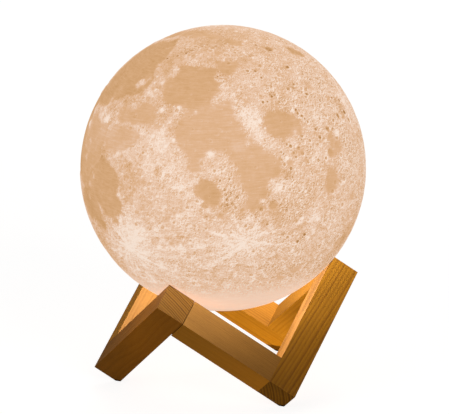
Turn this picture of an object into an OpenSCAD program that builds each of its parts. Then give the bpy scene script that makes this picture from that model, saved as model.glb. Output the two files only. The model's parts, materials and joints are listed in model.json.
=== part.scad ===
// Moon lamp: a printed moon ball lying on a zig-zag stand of six square wooden bars.
// Millimetres. Z is up and Z = 0 is the surface that the feet stand on.
// The origin is below the middle of the ball. The front of the lamp faces -Y.

/* [Moon ball] */
// Outer diameter of the ball
ball_diameter = 150; // [135:1:200]
// Thickness of the printed shell
shell_wall = 2; // [1.6:0.1:3]
// Gap between the ball and each corner that carries it
seat_gap = 0.3; // [0.1:0.05:0.5]
// Depth of the printed seas below the highlands
sea_depth = 0.35; // [0.2:0.05:0.5]
// Depth of the largest printed craters
crater_depth = 0.5; // [0.3:0.05:0.6]
// Depth of a smaller crater, as a share of its radius
crater_steepness = 0.2; // [0.1:0.02:0.3]
// Turn of the printed map about its own pole, in degrees
map_turn = 78; // [0:1:359]
// Tilt of the printed pole away from upright, in degrees
pole_tilt = 22; // [0:1:45]
// Direction of the axis that the pole tilts about, in degrees
pole_tilt_axis = 153; // [0:1:359]

/* [Stand] */
// Length of a long bar, which is the edge of the cube that the bars follow
bar_length = 85.8; // [80:0.1:95]
// Side of the square bars
bar_side = 15.7; // [13:0.1:18]
// Height of the corner that is sanded off flat under each foot
foot_sanding = 1.2; // [0.6:0.1:2]
// Open gap at the joint of each peak
peak_joint_gap = 0.35; // [0.1:0.05:0.6]

/* [Dowels] */
// Diameter of the dowels in the stand's joints
dowel_diameter = 6; // [4:0.5:8]
// Depth of a dowel in each of its two bars
dowel_depth = 9; // [6:0.5:11]
// Glue line around a dowel
dowel_fit = 0.05; // [0.03:0.01:0.1]
// Space past each end of a dowel
dowel_end_space = 0.5; // [0.2:0.1:1]

/* [Neck ring] */
// Diameter of the hole in the bottom of the ball
neck_hole_diameter = 44; // [43:0.5:50]
// Glue line between the ring and the ball
glue_line = 0.15; // [0.05:0.05:0.3]
// Wall of the ring above the cap
ring_wall = 1.85; // [1.6:0.05:2.5]
// Height of the ring
ring_height = 8; // [7.5:0.5:12]
// Width of the flange that is glued inside the ball
ring_flange_width = 7; // [4:0.5:12]
// Thickness of that flange
ring_flange_thickness = 1.6; // [1.2:0.1:2.5]
// Radius of each screw boss
ring_boss_radius = 2.2; // [2:0.1:2.6]
// Height of each screw boss
ring_boss_height = 5; // [4.5:0.25:5.5]

/* [Base cap] */
// Thickness of the cap
cap_thickness = 2.4; // [2:0.1:3]
// Gap around the cap in its rebate
cap_gap = 0.1; // [0.05:0.05:0.3]
// Ledge of the ring that the cap rests on
cap_ledge = 0.75; // [0.5:0.05:1]
// Number of screws that hold the cap
cap_screw_count = 3; // [3:1:4]
// Height of the two posts that carry the control board
board_post_height = 6.6; // [6.4:0.1:8]
// Radius of those posts
board_post_radius = 2.2; // [2:0.1:2.6]

/* [Screws] */
// Radius of a screw's shank
screw_radius = 0.95; // [0.8:0.05:1]
// Radius of a screw's head
screw_head_radius = 1.85; // [1.6:0.05:1.9]
// Height of a screw's head
screw_head_height = 1.1; // [0.9:0.1:1.3]
// Radial gap between a shank and the hole that it is driven into
screw_fit = 0.03; // [0.02:0.01:0.05]
// Radial gap between a shank and a hole that it passes through
screw_clearance = 0.15; // [0.1:0.05:0.2]
// Length of the cap screws under the head
cap_screw_length = 5; // [4.5:0.25:5.5]
// Length of the housing screws under the head
housing_screw_length = 12; // [11:0.5:12.5]
// Length of the LED board screws under the head
led_screw_length = 5; // [4:0.5:6]
// Width of the cross recess in a head
screw_slot_width = 0.5; // [0.4:0.05:0.6]
// Length of the cross recess
screw_slot_length = 2.2; // [1.4:0.1:2.8]
// Depth of the cross recess
screw_slot_depth = 0.5; // [0.3:0.05:0.6]

/* [Button] */
// Radius of the push button
button_radius = 5; // [4:0.25:6]
// Height by which the button stands out of the cap
button_proud = 0.8; // [0.8:0.1:1.5]
// Travel of the button
button_travel = 0.8; // [0.4:0.1:0.8]
// Gap around the button
button_gap = 0.25; // [0.15:0.05:0.4]
// Width of the flange that keeps the button in the cap
button_flange_width = 1.2; // [0.8:0.1:1.6]
// Thickness of that flange
button_flange_thickness = 0.8; // [0.6:0.1:1]
// Gap between that flange and the cap at rest
button_rest_gap = 0.1; // [0.05:0.05:0.2]
// Radius of the button's stem
button_stem_radius = 1.4; // [1:0.1:1.6]
// Side of the switch body
switch_side = 6; // [5:0.5:7]
// Height of the switch body
switch_height = 3.5; // [3.2:0.1:3.6]
// Radius of the switch plunger
plunger_radius = 1.75; // [1.5:0.05:2]
// Running gap around the plunger
plunger_fit = 0.08; // [0.05:0.01:0.1]
// Length of plunger that shows below the switch body
plunger_reach = 1.2; // [1:0.1:1.4]
// Length of plunger inside the switch body at rest
plunger_depth = 1; // [0.8:0.1:1.2]

/* [Charging socket] */
// Distance of the socket from the middle of the cap
socket_offset = 11; // [10.5:0.25:12]
// Width of the socket's metal shell
socket_width = 7.6; // [7:0.1:8.5]
// Thickness of the socket's metal shell across
socket_across = 2.9; // [2.6:0.1:3.4]
// Wall of that shell
socket_wall = 0.35; // [0.3:0.05:0.4]
// Depth of the mouth of the socket
socket_mouth_depth = 5.5; // [4.5:0.5:6]
// Thickness of the contact tongue
socket_tongue = 0.6; // [0.5:0.05:0.8]
// Distance by which the socket lies back from the face of the cap
socket_setback = 0.5; // [0.2:0.1:0.8]
// Gap around the socket in the cap
socket_gap = 0.2; // [0.1:0.05:0.3]

/* [Charge light] */
// Distance of the charge light from the middle of the cap
indicator_offset = 11; // [9:0.25:12]
// Radius of the light pipe
pipe_radius = 1; // [0.8:0.1:1.2]
// Gap around the light pipe
pipe_gap = 0.05; // [0.03:0.01:0.1]
// Height of the collar that seats the pipe on the cap
pipe_collar_height = 0.8; // [0.6:0.1:1]
// Width of that collar
pipe_collar_width = 0.6; // [0.4:0.1:0.8]
// Side of the charge LED
indicator_side = 1.6; // [1.2:0.1:2]
// Height of the charge LED
indicator_height = 0.8; // [0.6:0.1:1]

/* [Control board] */
// Distance by which the board's edge lies inside the housing's outside
board_inset = 0.2; // [0:0.1:0.5]
// Thickness of the control board
board_thickness = 1.6; // [1:0.1:1.6]

/* [Battery housing] */
// Outer radius of the housing
housing_radius = 15.5; // [15.3:0.1:15.8]
// Wall of the housing
housing_wall = 1.5; // [1.2:0.1:1.8]
// Thickness of the housing's floor
housing_floor = 1.4; // [1.2:0.1:2]
// Height of the space for chips under that floor
chip_room = 4; // [3.5:0.1:4.2]
// Thickness of the two walls beside the battery
chamber_wall = 1.2; // [1:0.1:1.5]
// Height of the space above the battery
battery_headroom = 3; // [2.5:0.25:5]
// Radius of the bosses for the LED board screws
led_boss_radius = 2.2; // [2:0.1:2.4]
// Depth to which those bosses run into the housing's wall
led_boss_bite = 0.4; // [0.2:0.1:0.7]
// Height of those bosses
led_boss_height = 7; // [6.5:0.5:9]

/* [Battery] */
// Thickness of the battery
battery_thickness = 8; // [6:0.25:8.5]
// Width of the battery
battery_width = 25; // [20:0.5:25]
// Height of the battery
battery_height = 35; // [30:1:45]
// Radius of the battery's upright edges
battery_edge_radius = 2; // [1:0.25:2.5]
// Thickness of each foam pad beside the battery
foam_thickness = 1; // [0.5:0.1:1.2]
// Width of each foam pad
foam_width = 18; // [12:1:20]
// Height of each foam pad
foam_height = 26; // [15:1:28]

/* [LED board] */
// Thickness of the LED board
led_board_thickness = 1; // [0.8:0.1:1.6]
// Number of LEDs
led_count = 6; // [4:1:8]
// Radius of the ring of LEDs
led_ring_radius = 7.5; // [6:0.25:8]
// Length of an LED
led_length = 3.5; // [3:0.1:3.8]
// Width of an LED
led_width = 2.8; // [2:0.1:3]
// Height of an LED
led_height = 0.8; // [0.6:0.1:1.2]

/* [Leads] */
// Radius of a lead
lead_radius = 0.6; // [0.4:0.05:0.7]
// Distance of the upright leads from the wall beside the battery
lead_standoff = 2.2; // [1.5:0.1:2.4]
// Distance between the two leads of a pair
lead_spacing = 8; // [7:0.5:10]
// Gap around a lead in the housing's floor
lead_gap = 0.4; // [0.2:0.1:0.6]
// Height of a battery lead's run above the battery
lead_rise = 1.5; // [1:0.1:1.8]

/* [Hidden] */
$fn = 96;
// Overlap of a cutting shape past the face that it cuts
cut = 1;

// Ball and stand. The cube stands on one corner, so its diagonal is upright.
ball_radius = ball_diameter / 2;
bar_half = bar_side / 2;
bore_radius = dowel_diameter / 2 + dowel_fit;
bore_depth = dowel_depth + dowel_end_space;
// Corner of the cube above the lowest point of a foot, before sanding
cube_lift = (bar_length - bar_side) / sqrt(3) + foot_sanding;
// The ball's middle has three equal cube coordinates, and its distance to the inner corner
// of each peak, at (bar_length, bar_length, bar_side), is the ball's radius and the gap.
seat_reach = ball_radius + seat_gap;
seat_sum = 4 * bar_length + 2 * bar_side;
seat_squares = 2 * pow(bar_length, 2) + pow(bar_side, 2) - pow(seat_reach, 2);
ball_cube_place = (seat_sum + sqrt(pow(seat_sum, 2) - 12 * seat_squares)) / 6;
ball_z = sqrt(3) * ball_cube_place - cube_lift;

// Radius of the Moon in kilometres, to which the printed map is scaled
moon_radius_km = 1737;
// Seas of the Moon as discs: latitude, east longitude and diameter in kilometres
seas = [
    [32.8, -15.6, 1100], [28, 17.5, 600], [17, 59.1, 500], [8.5, 30.5, 740], [-7.8, 51.3, 660],
    [-15.2, 35, 333], [-24.4, -38.6, 389], [-20, -16, 650], [-1, -27, 560], [18, -55, 900],
    [13.3, 3.6, 245], [-1.7, 87, 370], [13.3, 86.1, 350], [56.8, 81.5, 273], [-44, 91, 600],
    [27.3, 148.1, 270], [-19.9, -94.7, 300], [-33.3, 163.7, 280]
];
// Named craters as latitude, east longitude and diameter in kilometres
craters = [
    [-43.3, -11.2, 85], [9.6, -20.1, 96], [8.1, -38, 40], [23.7, -47.4, 45], [-11.4, 26.4, 110],
    [-13.2, 24.1, 98], [-18, 23.7, 104], [31.8, 29.9, 100], [27.7, 55.5, 131], [46.7, 44.4, 88],
    [46.7, 39.1, 71], [50.2, 17.4, 88], [44.3, 16.3, 67], [-29.7, 32.2, 88], [-25.1, 60.4, 184],
    [-8.9, 61.1, 132], [-16.4, 61.6, 141], [-36, 60.6, 135], [-45, 41, 190], [-27, 80.9, 199],
    [-9.3, -1.9, 154], [-13.7, -3.2, 108], [-18.2, -1.9, 97], [-58.8, -14.1, 231],
    [-50.5, -6.2, 163], [-44.4, -55.3, 206], [51.6, -9.4, 101], [53.9, 57, 123], [35.7, 76.7, 177],
    [8.7, 84.6, 144], [21.3, 46, 64], [-5.2, -68.6, 173], [-20.4, 129.1, 185], [22.4, -163.1, 71]
];

// Neck and cap
neck_radius = neck_hole_diameter / 2;
ring_outer_radius = neck_radius - glue_line;
ring_bore_radius = ring_outer_radius - ring_wall;
rebate_radius = ring_bore_radius + cap_ledge;
cap_radius = rebate_radius - cap_gap;
// Radius on which the cap screws stand
cap_screw_offset = cap_radius - ring_boss_radius;
cap_bottom_z = ball_z - sqrt(pow(ball_radius, 2) - pow(neck_radius, 2));
cap_top_z = cap_bottom_z + cap_thickness;
// First of the cap screws, in degrees
cap_screw_start = 30;

// Stack of parts on the cap
board_z = cap_top_z + board_post_height;
board_top_z = board_z + board_thickness;
floor_z = board_top_z + chip_room;
battery_z = floor_z + housing_floor;
battery_top_z = battery_z + battery_height;
housing_top_z = battery_top_z + battery_headroom;
led_board_top_z = housing_top_z + led_board_thickness;
switch_z = board_z - switch_height;
plunger_z = switch_z - plunger_reach;
socket_z = cap_bottom_z + socket_setback;

housing_bore_radius = housing_radius - housing_wall;
chamber_half = battery_thickness / 2 + foam_thickness;
chamber_outside = chamber_half + chamber_wall;
lead_offset = chamber_outside + lead_standoff;
// The housing screws stand midway between the chamber and the housing's wall
housing_screw_offset = (chamber_outside + housing_bore_radius) / 2;
led_screw_offset = housing_bore_radius + led_boss_bite - led_boss_radius;
board_radius = housing_radius - board_inset;
driven_radius = screw_radius + screw_fit;
passing_radius = screw_radius + screw_clearance;
// Space past the tip of a screw in its hole
screw_tip_space = 0.3;
cap_screw_hole_depth = cap_screw_length + screw_head_height - cap_thickness + screw_tip_space;
post_hole_depth = housing_screw_length - housing_floor - chip_room - board_thickness + screw_tip_space;
led_screw_hole_depth = led_screw_length - led_board_thickness + screw_tip_space;
// Chips as x, y, width, depth and height
chips = [
    [0, 0, 5, 4, 1.5], [0, 7, 4.4, 4.4, 1.2], [0, -7, 5, 5, 2.6], [5, 3.4, 1.4, 2.6, 1.1],
    [-5, 3.4, 1.4, 2.6, 1.1], [5, -3.4, 1.4, 2.6, 1.1], [-5, -3.4, 1.4, 2.6, 1.1]
];

// Colours
wood_colour = [0.78, 0.55, 0.3];
dowel_colour = [0.85, 0.68, 0.45];
moon_colour = [0.95, 0.82, 0.7];
plastic_colour = [0.94, 0.94, 0.92];
button_colour = [0.8, 0.81, 0.82];
steel_colour = [0.62, 0.63, 0.65];
board_colour = [0.1, 0.4, 0.2];
chip_colour = [0.12, 0.12, 0.13];
battery_colour = [0.55, 0.6, 0.68];
foam_colour = [0.25, 0.25, 0.27];
lead_colour = [0.75, 0.12, 0.1];
led_colour = [1, 0.85, 0.35];
clear_colour = [0.85, 0.9, 0.95];

// Places the cube's frame in the lamp's: its diagonal upright, its lowest corner downwards
module on_corner() {
    translate([0, 0, -cube_lift])
        rotate([0, 0, 240])
            rotate([0, -acos(1 / sqrt(3)), 0])
                rotate([0, 0, -45])
                    children();
}

// One of the three like arms of the stand, counted anticlockwise from above
module arm(index) {
    rotate([0, 0, 120 * index])
        on_corner()
            children();
}

// Everything below the surface that the feet stand on
module below_feet() {
    translate([-bar_length, -bar_length, -bar_side])
        cube([2 * bar_length, 2 * bar_length, bar_side]);
}

// Cylinder across the joint of an arm's peak, centred on the joint
module across_peak(radius, depth) {
    translate([bar_length - bar_side - peak_joint_gap / 2 - depth, bar_length - bar_half, bar_half])
        rotate([0, 90, 0])
            cylinder(r = radius, h = 2 * depth);
}

// Cylinder across the joint where an arm's short bar ends at the next arm's foot
module across_foot(radius, depth) {
    translate([bar_side - depth, bar_length - bar_half, bar_half])
        rotate([0, 90, 0])
            cylinder(r = radius, h = 2 * depth);
}

// Long bar: from its foot up to its peak, and through both joints
module long_bar(index) {
    color(wood_colour)
        difference() {
            arm(index)
                translate([bar_length - bar_side, 0, 0])
                    cube([bar_side, bar_length, bar_side]);
            arm(index)
                across_peak(bore_radius, bore_depth);
            // The short bar of the arm before this one ends at this bar's foot
            arm(index + 2)
                across_foot(bore_radius, bore_depth);
            below_feet();
        }
}

// Short bar: between the peak of its own long bar and the foot of the next
module short_bar(index) {
    color(wood_colour)
        arm(index)
            difference() {
                translate([bar_side, bar_length - bar_side, 0])
                    cube([bar_length - 2 * bar_side - peak_joint_gap, bar_side, bar_side]);
                across_peak(bore_radius, bore_depth);
                across_foot(bore_radius, bore_depth);
            }
}

module long_bar_left() {
    long_bar(0);
}

module long_bar_right() {
    long_bar(1);
}

module long_bar_back() {
    long_bar(2);
}

module short_bar_front() {
    short_bar(0);
}

module short_bar_right() {
    short_bar(1);
}

module short_bar_left() {
    short_bar(2);
}

module peak_dowels() {
    color(dowel_colour)
        for (index = [0 : 2])
            arm(index)
                across_peak(dowel_diameter / 2, dowel_depth);
}

module foot_dowels() {
    color(dowel_colour)
        for (index = [0 : 2])
            arm(index)
                across_foot(dowel_diameter / 2, dowel_depth);
}

// Radius on the ball of a round feature of the Moon
function printed_radius(diameter_km) = diameter_km / 2 / moon_radius_km * ball_radius;

// Turns the Z axis to a place on the Moon
module at_place(latitude, longitude) {
    rotate([0, 0, longitude])
        rotate([0, 90 - latitude, 0])
            children();
}

// Turns the Moon's own poles and meridian to those of the printed ball
module moon_axes() {
    rotate([0, 0, pole_tilt_axis])
        rotate([pole_tilt, 0, 0])
            rotate([0, 0, map_turn])
                children();
}

// Round dimple: a part of a sphere that passes through its rim and its bottom
module crater(latitude, longitude, diameter_km) {
    rim_radius = printed_radius(diameter_km);
    rim_height = sqrt(pow(ball_radius, 2) - pow(rim_radius, 2));
    depth = min(crater_depth, crater_steepness * rim_radius);
    bowl_radius = (pow(rim_radius, 2) + pow(depth, 2)) / (2 * depth);
    at_place(latitude, longitude)
        translate([0, 0, rim_height - depth + bowl_radius])
            sphere(r = bowl_radius);
}

// What a sea leaves out of the ball's skin: a slice of a cone that stands on the ball's middle
module sea(latitude, longitude, diameter_km) {
    spread = tan(printed_radius(diameter_km) / ball_radius * 180 / PI);
    inner_height = ball_radius / 2;
    outer_height = ball_radius * 2;
    at_place(latitude, longitude)
        difference() {
            translate([0, 0, inner_height])
                cylinder(
                    r1 = spread * inner_height,
                    r2 = spread * outer_height,
                    h = outer_height - inner_height
                );
            sphere(r = ball_radius - sea_depth);
        }
}

// Printed shell with sunken seas and craters, and the hole for the neck ring at its bottom
module moon_shell() {
    color(moon_colour)
        translate([0, 0, ball_z])
            difference() {
                sphere(r = ball_radius);
                sphere(r = ball_radius - shell_wall);
                translate([0, 0, -ball_radius - cut])
                    cylinder(r = neck_radius, h = ball_radius / 2);
                moon_axes()
                    for (place = seas)
                        sea(place[0], place[1], place[2]);
                moon_axes()
                    for (place = craters)
                        crater(place[0], place[1], place[2]);
            }
}

// Places children on the middle of the cap, at a height
module at_height(z) {
    translate([0, 0, z])
        children();
}

// Places a copy of the children on each cap screw's axis, at a height
module at_cap_screws(z) {
    for (index = [0 : cap_screw_count - 1])
        rotate([0, 0, cap_screw_start + 360 / cap_screw_count * index])
            translate([cap_screw_offset, 0, z])
                children();
}

// Places a copy of the children on both sides of the middle, at a height
module at_both_sides(offset_x, z) {
    for (side = [-1, 1])
        translate([side * offset_x, 0, z])
            children();
}

// Round tube that stands on its lower end
module tube(outer_radius, inner_radius, height) {
    difference() {
        cylinder(r = outer_radius, h = height);
        translate([0, 0, -cut])
            cylinder(r = inner_radius, h = height + 2 * cut);
    }
}

// Upright block with round edges, centred on the Z axis
module rounded_block(size_x, size_y, height, edge_radius) {
    linear_extrude(height)
        union() {
            square([size_x - 2 * edge_radius, size_y], center = true);
            square([size_x, size_y - 2 * edge_radius], center = true);
            for (x = [-1, 1], y = [-1, 1])
                translate([x * (size_x / 2 - edge_radius), y * (size_y / 2 - edge_radius)])
                    circle(r = edge_radius);
        }
}

// Cross recess that is cut into the top of a head
module cross_recess() {
    for (angle = [0, 90])
        rotate([0, 0, angle])
            translate([-screw_slot_length / 2, -screw_slot_width / 2, -screw_slot_depth])
                cube([screw_slot_length, screw_slot_width, screw_slot_depth + cut]);
}

// Screw whose head sits on Z = 0 and whose shank points down
module pan_screw(length) {
    difference() {
        union() {
            cylinder(r = screw_head_radius, h = screw_head_height);
            translate([0, 0, -length])
                cylinder(r = screw_radius, h = length);
        }
        translate([0, 0, screw_head_height])
            cross_recess();
    }
}

// Screw whose flat head ends at Z = 0 and whose shank points down
module flat_screw(length) {
    difference() {
        union() {
            translate([0, 0, -screw_head_height])
                cylinder(r1 = screw_radius, r2 = screw_head_radius, h = screw_head_height);
            translate([0, 0, -screw_head_height - length])
                cylinder(r = screw_radius, h = length);
        }
        cross_recess();
    }
}

// Ring glued in the hole of the ball: a sleeve with a flange inside the ball and bosses for
// the cap's screws
module neck_ring() {
    flange_outer = ball_radius - shell_wall - glue_line;
    flange_inner = flange_outer - ring_flange_thickness;
    color(plastic_colour)
        difference() {
            union() {
                at_height(cap_bottom_z)
                    cylinder(r = ring_outer_radius, h = ring_height);
                difference() {
                    intersection() {
                        at_height(ball_z)
                            sphere(r = flange_outer);
                        at_height(cap_bottom_z)
                            cylinder(r = neck_radius + ring_flange_width, h = 2 * ring_height);
                    }
                    at_height(ball_z)
                        sphere(r = flange_inner);
                }
            }
            difference() {
                at_height(cap_bottom_z - cut)
                    cylinder(r = ring_bore_radius, h = 3 * ring_height);
                at_cap_screws(cap_top_z)
                    cylinder(r = ring_boss_radius, h = ring_boss_height);
            }
            at_height(cap_bottom_z - cut)
                cylinder(r = rebate_radius, h = cap_thickness + cut);
            at_cap_screws(cap_top_z - cut)
                cylinder(r = driven_radius, h = cap_screw_hole_depth + cut);
        }
}

// Round cap in the bottom of the ball, with posts for the control board
module base_cap() {
    color(plastic_colour)
        difference() {
            union() {
                at_height(cap_bottom_z)
                    cylinder(r = cap_radius, h = cap_thickness);
                at_both_sides(housing_screw_offset, cap_bottom_z)
                    cylinder(r = board_post_radius, h = cap_thickness + board_post_height);
            }
            at_cap_screws(cap_bottom_z - cut)
                cylinder(r = passing_radius, h = cap_thickness + 2 * cut);
            at_cap_screws(cap_bottom_z)
                cylinder(
                    r1 = screw_head_radius + screw_clearance,
                    r2 = passing_radius,
                    h = screw_head_height
                );
            at_both_sides(housing_screw_offset, board_z - post_hole_depth)
                cylinder(r = driven_radius, h = post_hole_depth + cut);
            at_height(cap_bottom_z - cut)
                cylinder(r = button_radius + button_gap, h = cap_thickness + 2 * cut);
            translate([0, socket_offset, cap_bottom_z + cap_thickness / 2])
                cube(
                    [
                        socket_width + 2 * socket_gap,
                        socket_across + 2 * socket_gap,
                        cap_thickness + 2 * cut
                    ],
                    center = true
                );
            translate([0, -indicator_offset, cap_bottom_z - cut])
                cylinder(r = pipe_radius + pipe_gap, h = cap_thickness + 2 * cut);
        }
}

module cap_screws() {
    color(steel_colour)
        at_cap_screws(cap_bottom_z)
            rotate([180, 0, 0])
                flat_screw(cap_screw_length);
}

// Push button with the flange that keeps it in the cap and the stem that meets the plunger
module power_button() {
    flange_z = cap_top_z + button_rest_gap;
    color(button_colour)
        union() {
            at_height(cap_bottom_z - button_proud)
                cylinder(r = button_radius, h = button_proud + cap_thickness + button_rest_gap);
            at_height(flange_z)
                cylinder(r = button_radius + button_flange_width, h = button_flange_thickness);
            at_height(flange_z)
                cylinder(r = button_stem_radius, h = plunger_z - flange_z);
        }
}

module switch_plunger() {
    color(chip_colour)
        at_height(plunger_z)
            cylinder(r = plunger_radius, h = plunger_reach + plunger_depth);
}

// Body of the switch, with a blind bore that leaves room for the plunger's travel
module tact_switch() {
    bore_height = plunger_depth + button_travel + button_rest_gap;
    color(steel_colour)
        difference() {
            translate([-switch_side / 2, -switch_side / 2, switch_z])
                cube([switch_side, switch_side, switch_height]);
            at_height(switch_z - cut)
                cylinder(r = plunger_radius + plunger_fit, h = bore_height + cut);
        }
}

// Socket: a metal shell with a contact tongue in its mouth, standing on the control board
module charging_socket() {
    mouth_width = socket_width - 2 * socket_wall;
    mouth_across = socket_across - 2 * socket_wall;
    color(steel_colour)
        translate([0, socket_offset, socket_z])
            difference() {
                translate([-socket_width / 2, -socket_across / 2, 0])
                    cube([socket_width, socket_across, board_z - socket_z]);
                difference() {
                    translate([-mouth_width / 2, -mouth_across / 2, -cut])
                        cube([mouth_width, mouth_across, socket_mouth_depth + cut]);
                    translate([-mouth_width / 4, -socket_tongue / 2, socket_wall])
                        cube([mouth_width / 2, socket_tongue, socket_mouth_depth]);
                }
            }
}

// Light pipe from the charge LED to the face of the cap
module indicator_light_pipe() {
    color(clear_colour)
        translate([0, -indicator_offset, 0])
            union() {
                at_height(cap_bottom_z)
                    cylinder(r = pipe_radius, h = board_z - indicator_height - cap_bottom_z);
                at_height(cap_top_z)
                    cylinder(r = pipe_radius + pipe_collar_width, h = pipe_collar_height);
            }
}

module indicator_led() {
    color(led_colour)
        translate([0, -indicator_offset, board_z - indicator_height / 2])
            cube([indicator_side, indicator_side, indicator_height], center = true);
}

// Round board on the cap's posts, with the housing screws passing through it
module control_board() {
    color(board_colour)
        difference() {
            at_height(board_z)
                cylinder(r = board_radius, h = board_thickness);
            at_both_sides(housing_screw_offset, board_z - cut)
                cylinder(r = passing_radius, h = board_thickness + 2 * cut);
        }
}

module board_chips() {
    color(chip_colour)
        for (chip = chips)
            translate([chip[0] - chip[2] / 2, chip[1] - chip[3] / 2, board_top_z])
                cube([chip[2], chip[3], chip[4]]);
}

// Upright walls on both flat sides of the battery, inside the housing
module chamber_walls() {
    intersection() {
        for (side = [-1, 1])
            translate([side * (chamber_half + chamber_wall / 2), 0, battery_z + battery_height / 2])
                cube([chamber_wall, 2 * housing_radius, battery_height], center = true);
        at_height(battery_z)
            cylinder(r = housing_bore_radius + housing_wall / 2, h = battery_height);
    }
}

// Places children on the four upright leads, at a height
module at_leads(z) {
    for (side = [-1, 1], end = [-1, 1])
        translate([side * lead_offset, end * lead_spacing / 2, z])
            children();
}

// Tube that stands on the control board, with a floor for the battery and the LED board on top
module battery_housing() {
    post_z = housing_top_z - led_boss_height;
    color(plastic_colour)
        difference() {
            union() {
                at_height(board_top_z)
                    tube(housing_radius, housing_bore_radius, housing_top_z - board_top_z);
                at_height(floor_z)
                    cylinder(r = housing_radius - housing_wall / 2, h = housing_floor);
                at_both_sides(housing_screw_offset, board_top_z)
                    cylinder(r = board_post_radius, h = chip_room + housing_floor / 2);
                chamber_walls();
                intersection() {
                    at_both_sides(led_screw_offset, post_z)
                        cylinder(r = led_boss_radius, h = led_boss_height);
                    at_height(post_z)
                        cylinder(r = housing_radius - housing_wall / 2, h = led_boss_height);
                }
            }
            at_both_sides(housing_screw_offset, board_top_z - cut)
                cylinder(r = passing_radius, h = chip_room + housing_floor + 2 * cut);
            at_both_sides(led_screw_offset, housing_top_z - led_screw_hole_depth)
                cylinder(r = driven_radius, h = led_screw_hole_depth + cut);
            at_leads(floor_z - cut)
                cylinder(r = lead_radius + lead_gap, h = housing_floor + 2 * cut);
        }
}

module housing_screws() {
    color(steel_colour)
        at_both_sides(housing_screw_offset, battery_z)
            pan_screw(housing_screw_length);
}

module battery() {
    color(battery_colour)
        at_height(battery_z)
            rounded_block(battery_thickness, battery_width, battery_height, battery_edge_radius);
}

// Foam pads between the battery's flat sides and the chamber walls
module battery_foam() {
    color(foam_colour)
        at_both_sides(
            battery_thickness / 2 + foam_thickness / 2,
            battery_z + battery_height / 2
        )
            cube([foam_thickness, foam_width, foam_height], center = true);
}

// Leads from the top of the battery, over the chamber wall and down to the control board
module battery_leads() {
    run_z = battery_top_z + lead_rise;
    color(lead_colour)
        for (end = [-1, 1])
            translate([0, end * lead_spacing / 2, 0])
                union() {
                    at_height(battery_top_z)
                        cylinder(r = lead_radius, h = lead_rise);
                    at_height(run_z)
                        sphere(r = lead_radius);
                    translate([0, 0, run_z])
                        rotate([0, 90, 0])
                            cylinder(r = lead_radius, h = lead_offset);
                    translate([lead_offset, 0, run_z])
                        sphere(r = lead_radius);
                    translate([lead_offset, 0, board_top_z])
                        cylinder(r = lead_radius, h = run_z - board_top_z);
                }
}

// Leads from the control board straight up to the LED board
module led_leads() {
    color(lead_colour)
        for (end = [-1, 1])
            translate([-lead_offset, end * lead_spacing / 2, board_top_z])
                cylinder(r = lead_radius, h = housing_top_z - board_top_z);
}

module led_board() {
    color(plastic_colour)
        difference() {
            at_height(housing_top_z)
                cylinder(r = housing_radius, h = led_board_thickness);
            at_both_sides(led_screw_offset, housing_top_z - cut)
                cylinder(r = passing_radius, h = led_board_thickness + 2 * cut);
        }
}

// Ring of LEDs on the LED board, clear of its two screws
module led_chips() {
    color(led_colour)
        for (index = [0 : led_count - 1])
            rotate([0, 0, 90 + 360 / led_count * index])
                translate([led_ring_radius, 0, led_board_top_z + led_height / 2])
                    cube([led_width, led_length, led_height], center = true);
}

module led_screws() {
    color(steel_colour)
        at_both_sides(led_screw_offset, led_board_top_z)
            pan_screw(led_screw_length);
}

moon_shell();
neck_ring();
base_cap();
cap_screws();
power_button();
switch_plunger();
tact_switch();
charging_socket();
indicator_light_pipe();
indicator_led();
control_board();
board_chips();
battery_housing();
housing_screws();
battery();
battery_foam();
battery_leads();
led_board();
led_chips();
led_screws();
led_leads();
long_bar_left();
long_bar_right();
long_bar_back();
short_bar_front();
short_bar_right();
short_bar_left();
peak_dowels();
foot_dowels();
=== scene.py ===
import json
import math

import bpy
import numpy as np
from mathutils import Matrix, Vector
from mathutils.kdtree import KDTree

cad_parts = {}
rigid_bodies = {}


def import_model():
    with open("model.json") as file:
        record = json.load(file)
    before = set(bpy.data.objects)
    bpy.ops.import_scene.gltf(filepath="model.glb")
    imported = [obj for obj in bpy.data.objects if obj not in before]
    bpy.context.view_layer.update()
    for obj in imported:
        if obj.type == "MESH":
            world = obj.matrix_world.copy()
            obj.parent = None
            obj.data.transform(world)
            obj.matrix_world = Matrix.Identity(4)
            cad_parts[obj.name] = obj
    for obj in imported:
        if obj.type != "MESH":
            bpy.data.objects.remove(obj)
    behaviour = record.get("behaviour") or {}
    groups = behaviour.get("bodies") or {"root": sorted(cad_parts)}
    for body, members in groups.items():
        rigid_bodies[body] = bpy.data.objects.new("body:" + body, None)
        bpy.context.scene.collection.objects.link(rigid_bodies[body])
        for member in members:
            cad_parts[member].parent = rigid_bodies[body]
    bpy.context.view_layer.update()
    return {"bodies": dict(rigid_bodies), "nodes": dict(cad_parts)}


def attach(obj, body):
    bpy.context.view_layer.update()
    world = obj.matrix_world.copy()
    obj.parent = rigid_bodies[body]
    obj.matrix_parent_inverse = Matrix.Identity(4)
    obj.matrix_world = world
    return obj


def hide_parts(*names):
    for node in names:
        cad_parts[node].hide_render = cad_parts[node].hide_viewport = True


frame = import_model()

NODES = frame["nodes"]
BODIES = frame["bodies"]
scene = bpy.context.scene

# ---------------------------------------------------------------- camera
# What it looks at and from how far, in metres and radians, and a small shift of the whole picture
TARGET = np.array([0.0, 0.0, 0.0988])
DISTANCE = 2.24475
AZIMUTH, ELEVATION, ROLL = math.radians(-89.953), math.radians(14.792), -0.0182127
SIDEWAYS, UPWARDS = 0.000522, -0.004404
LENS, SENSOR = 343.04, 36.0


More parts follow.
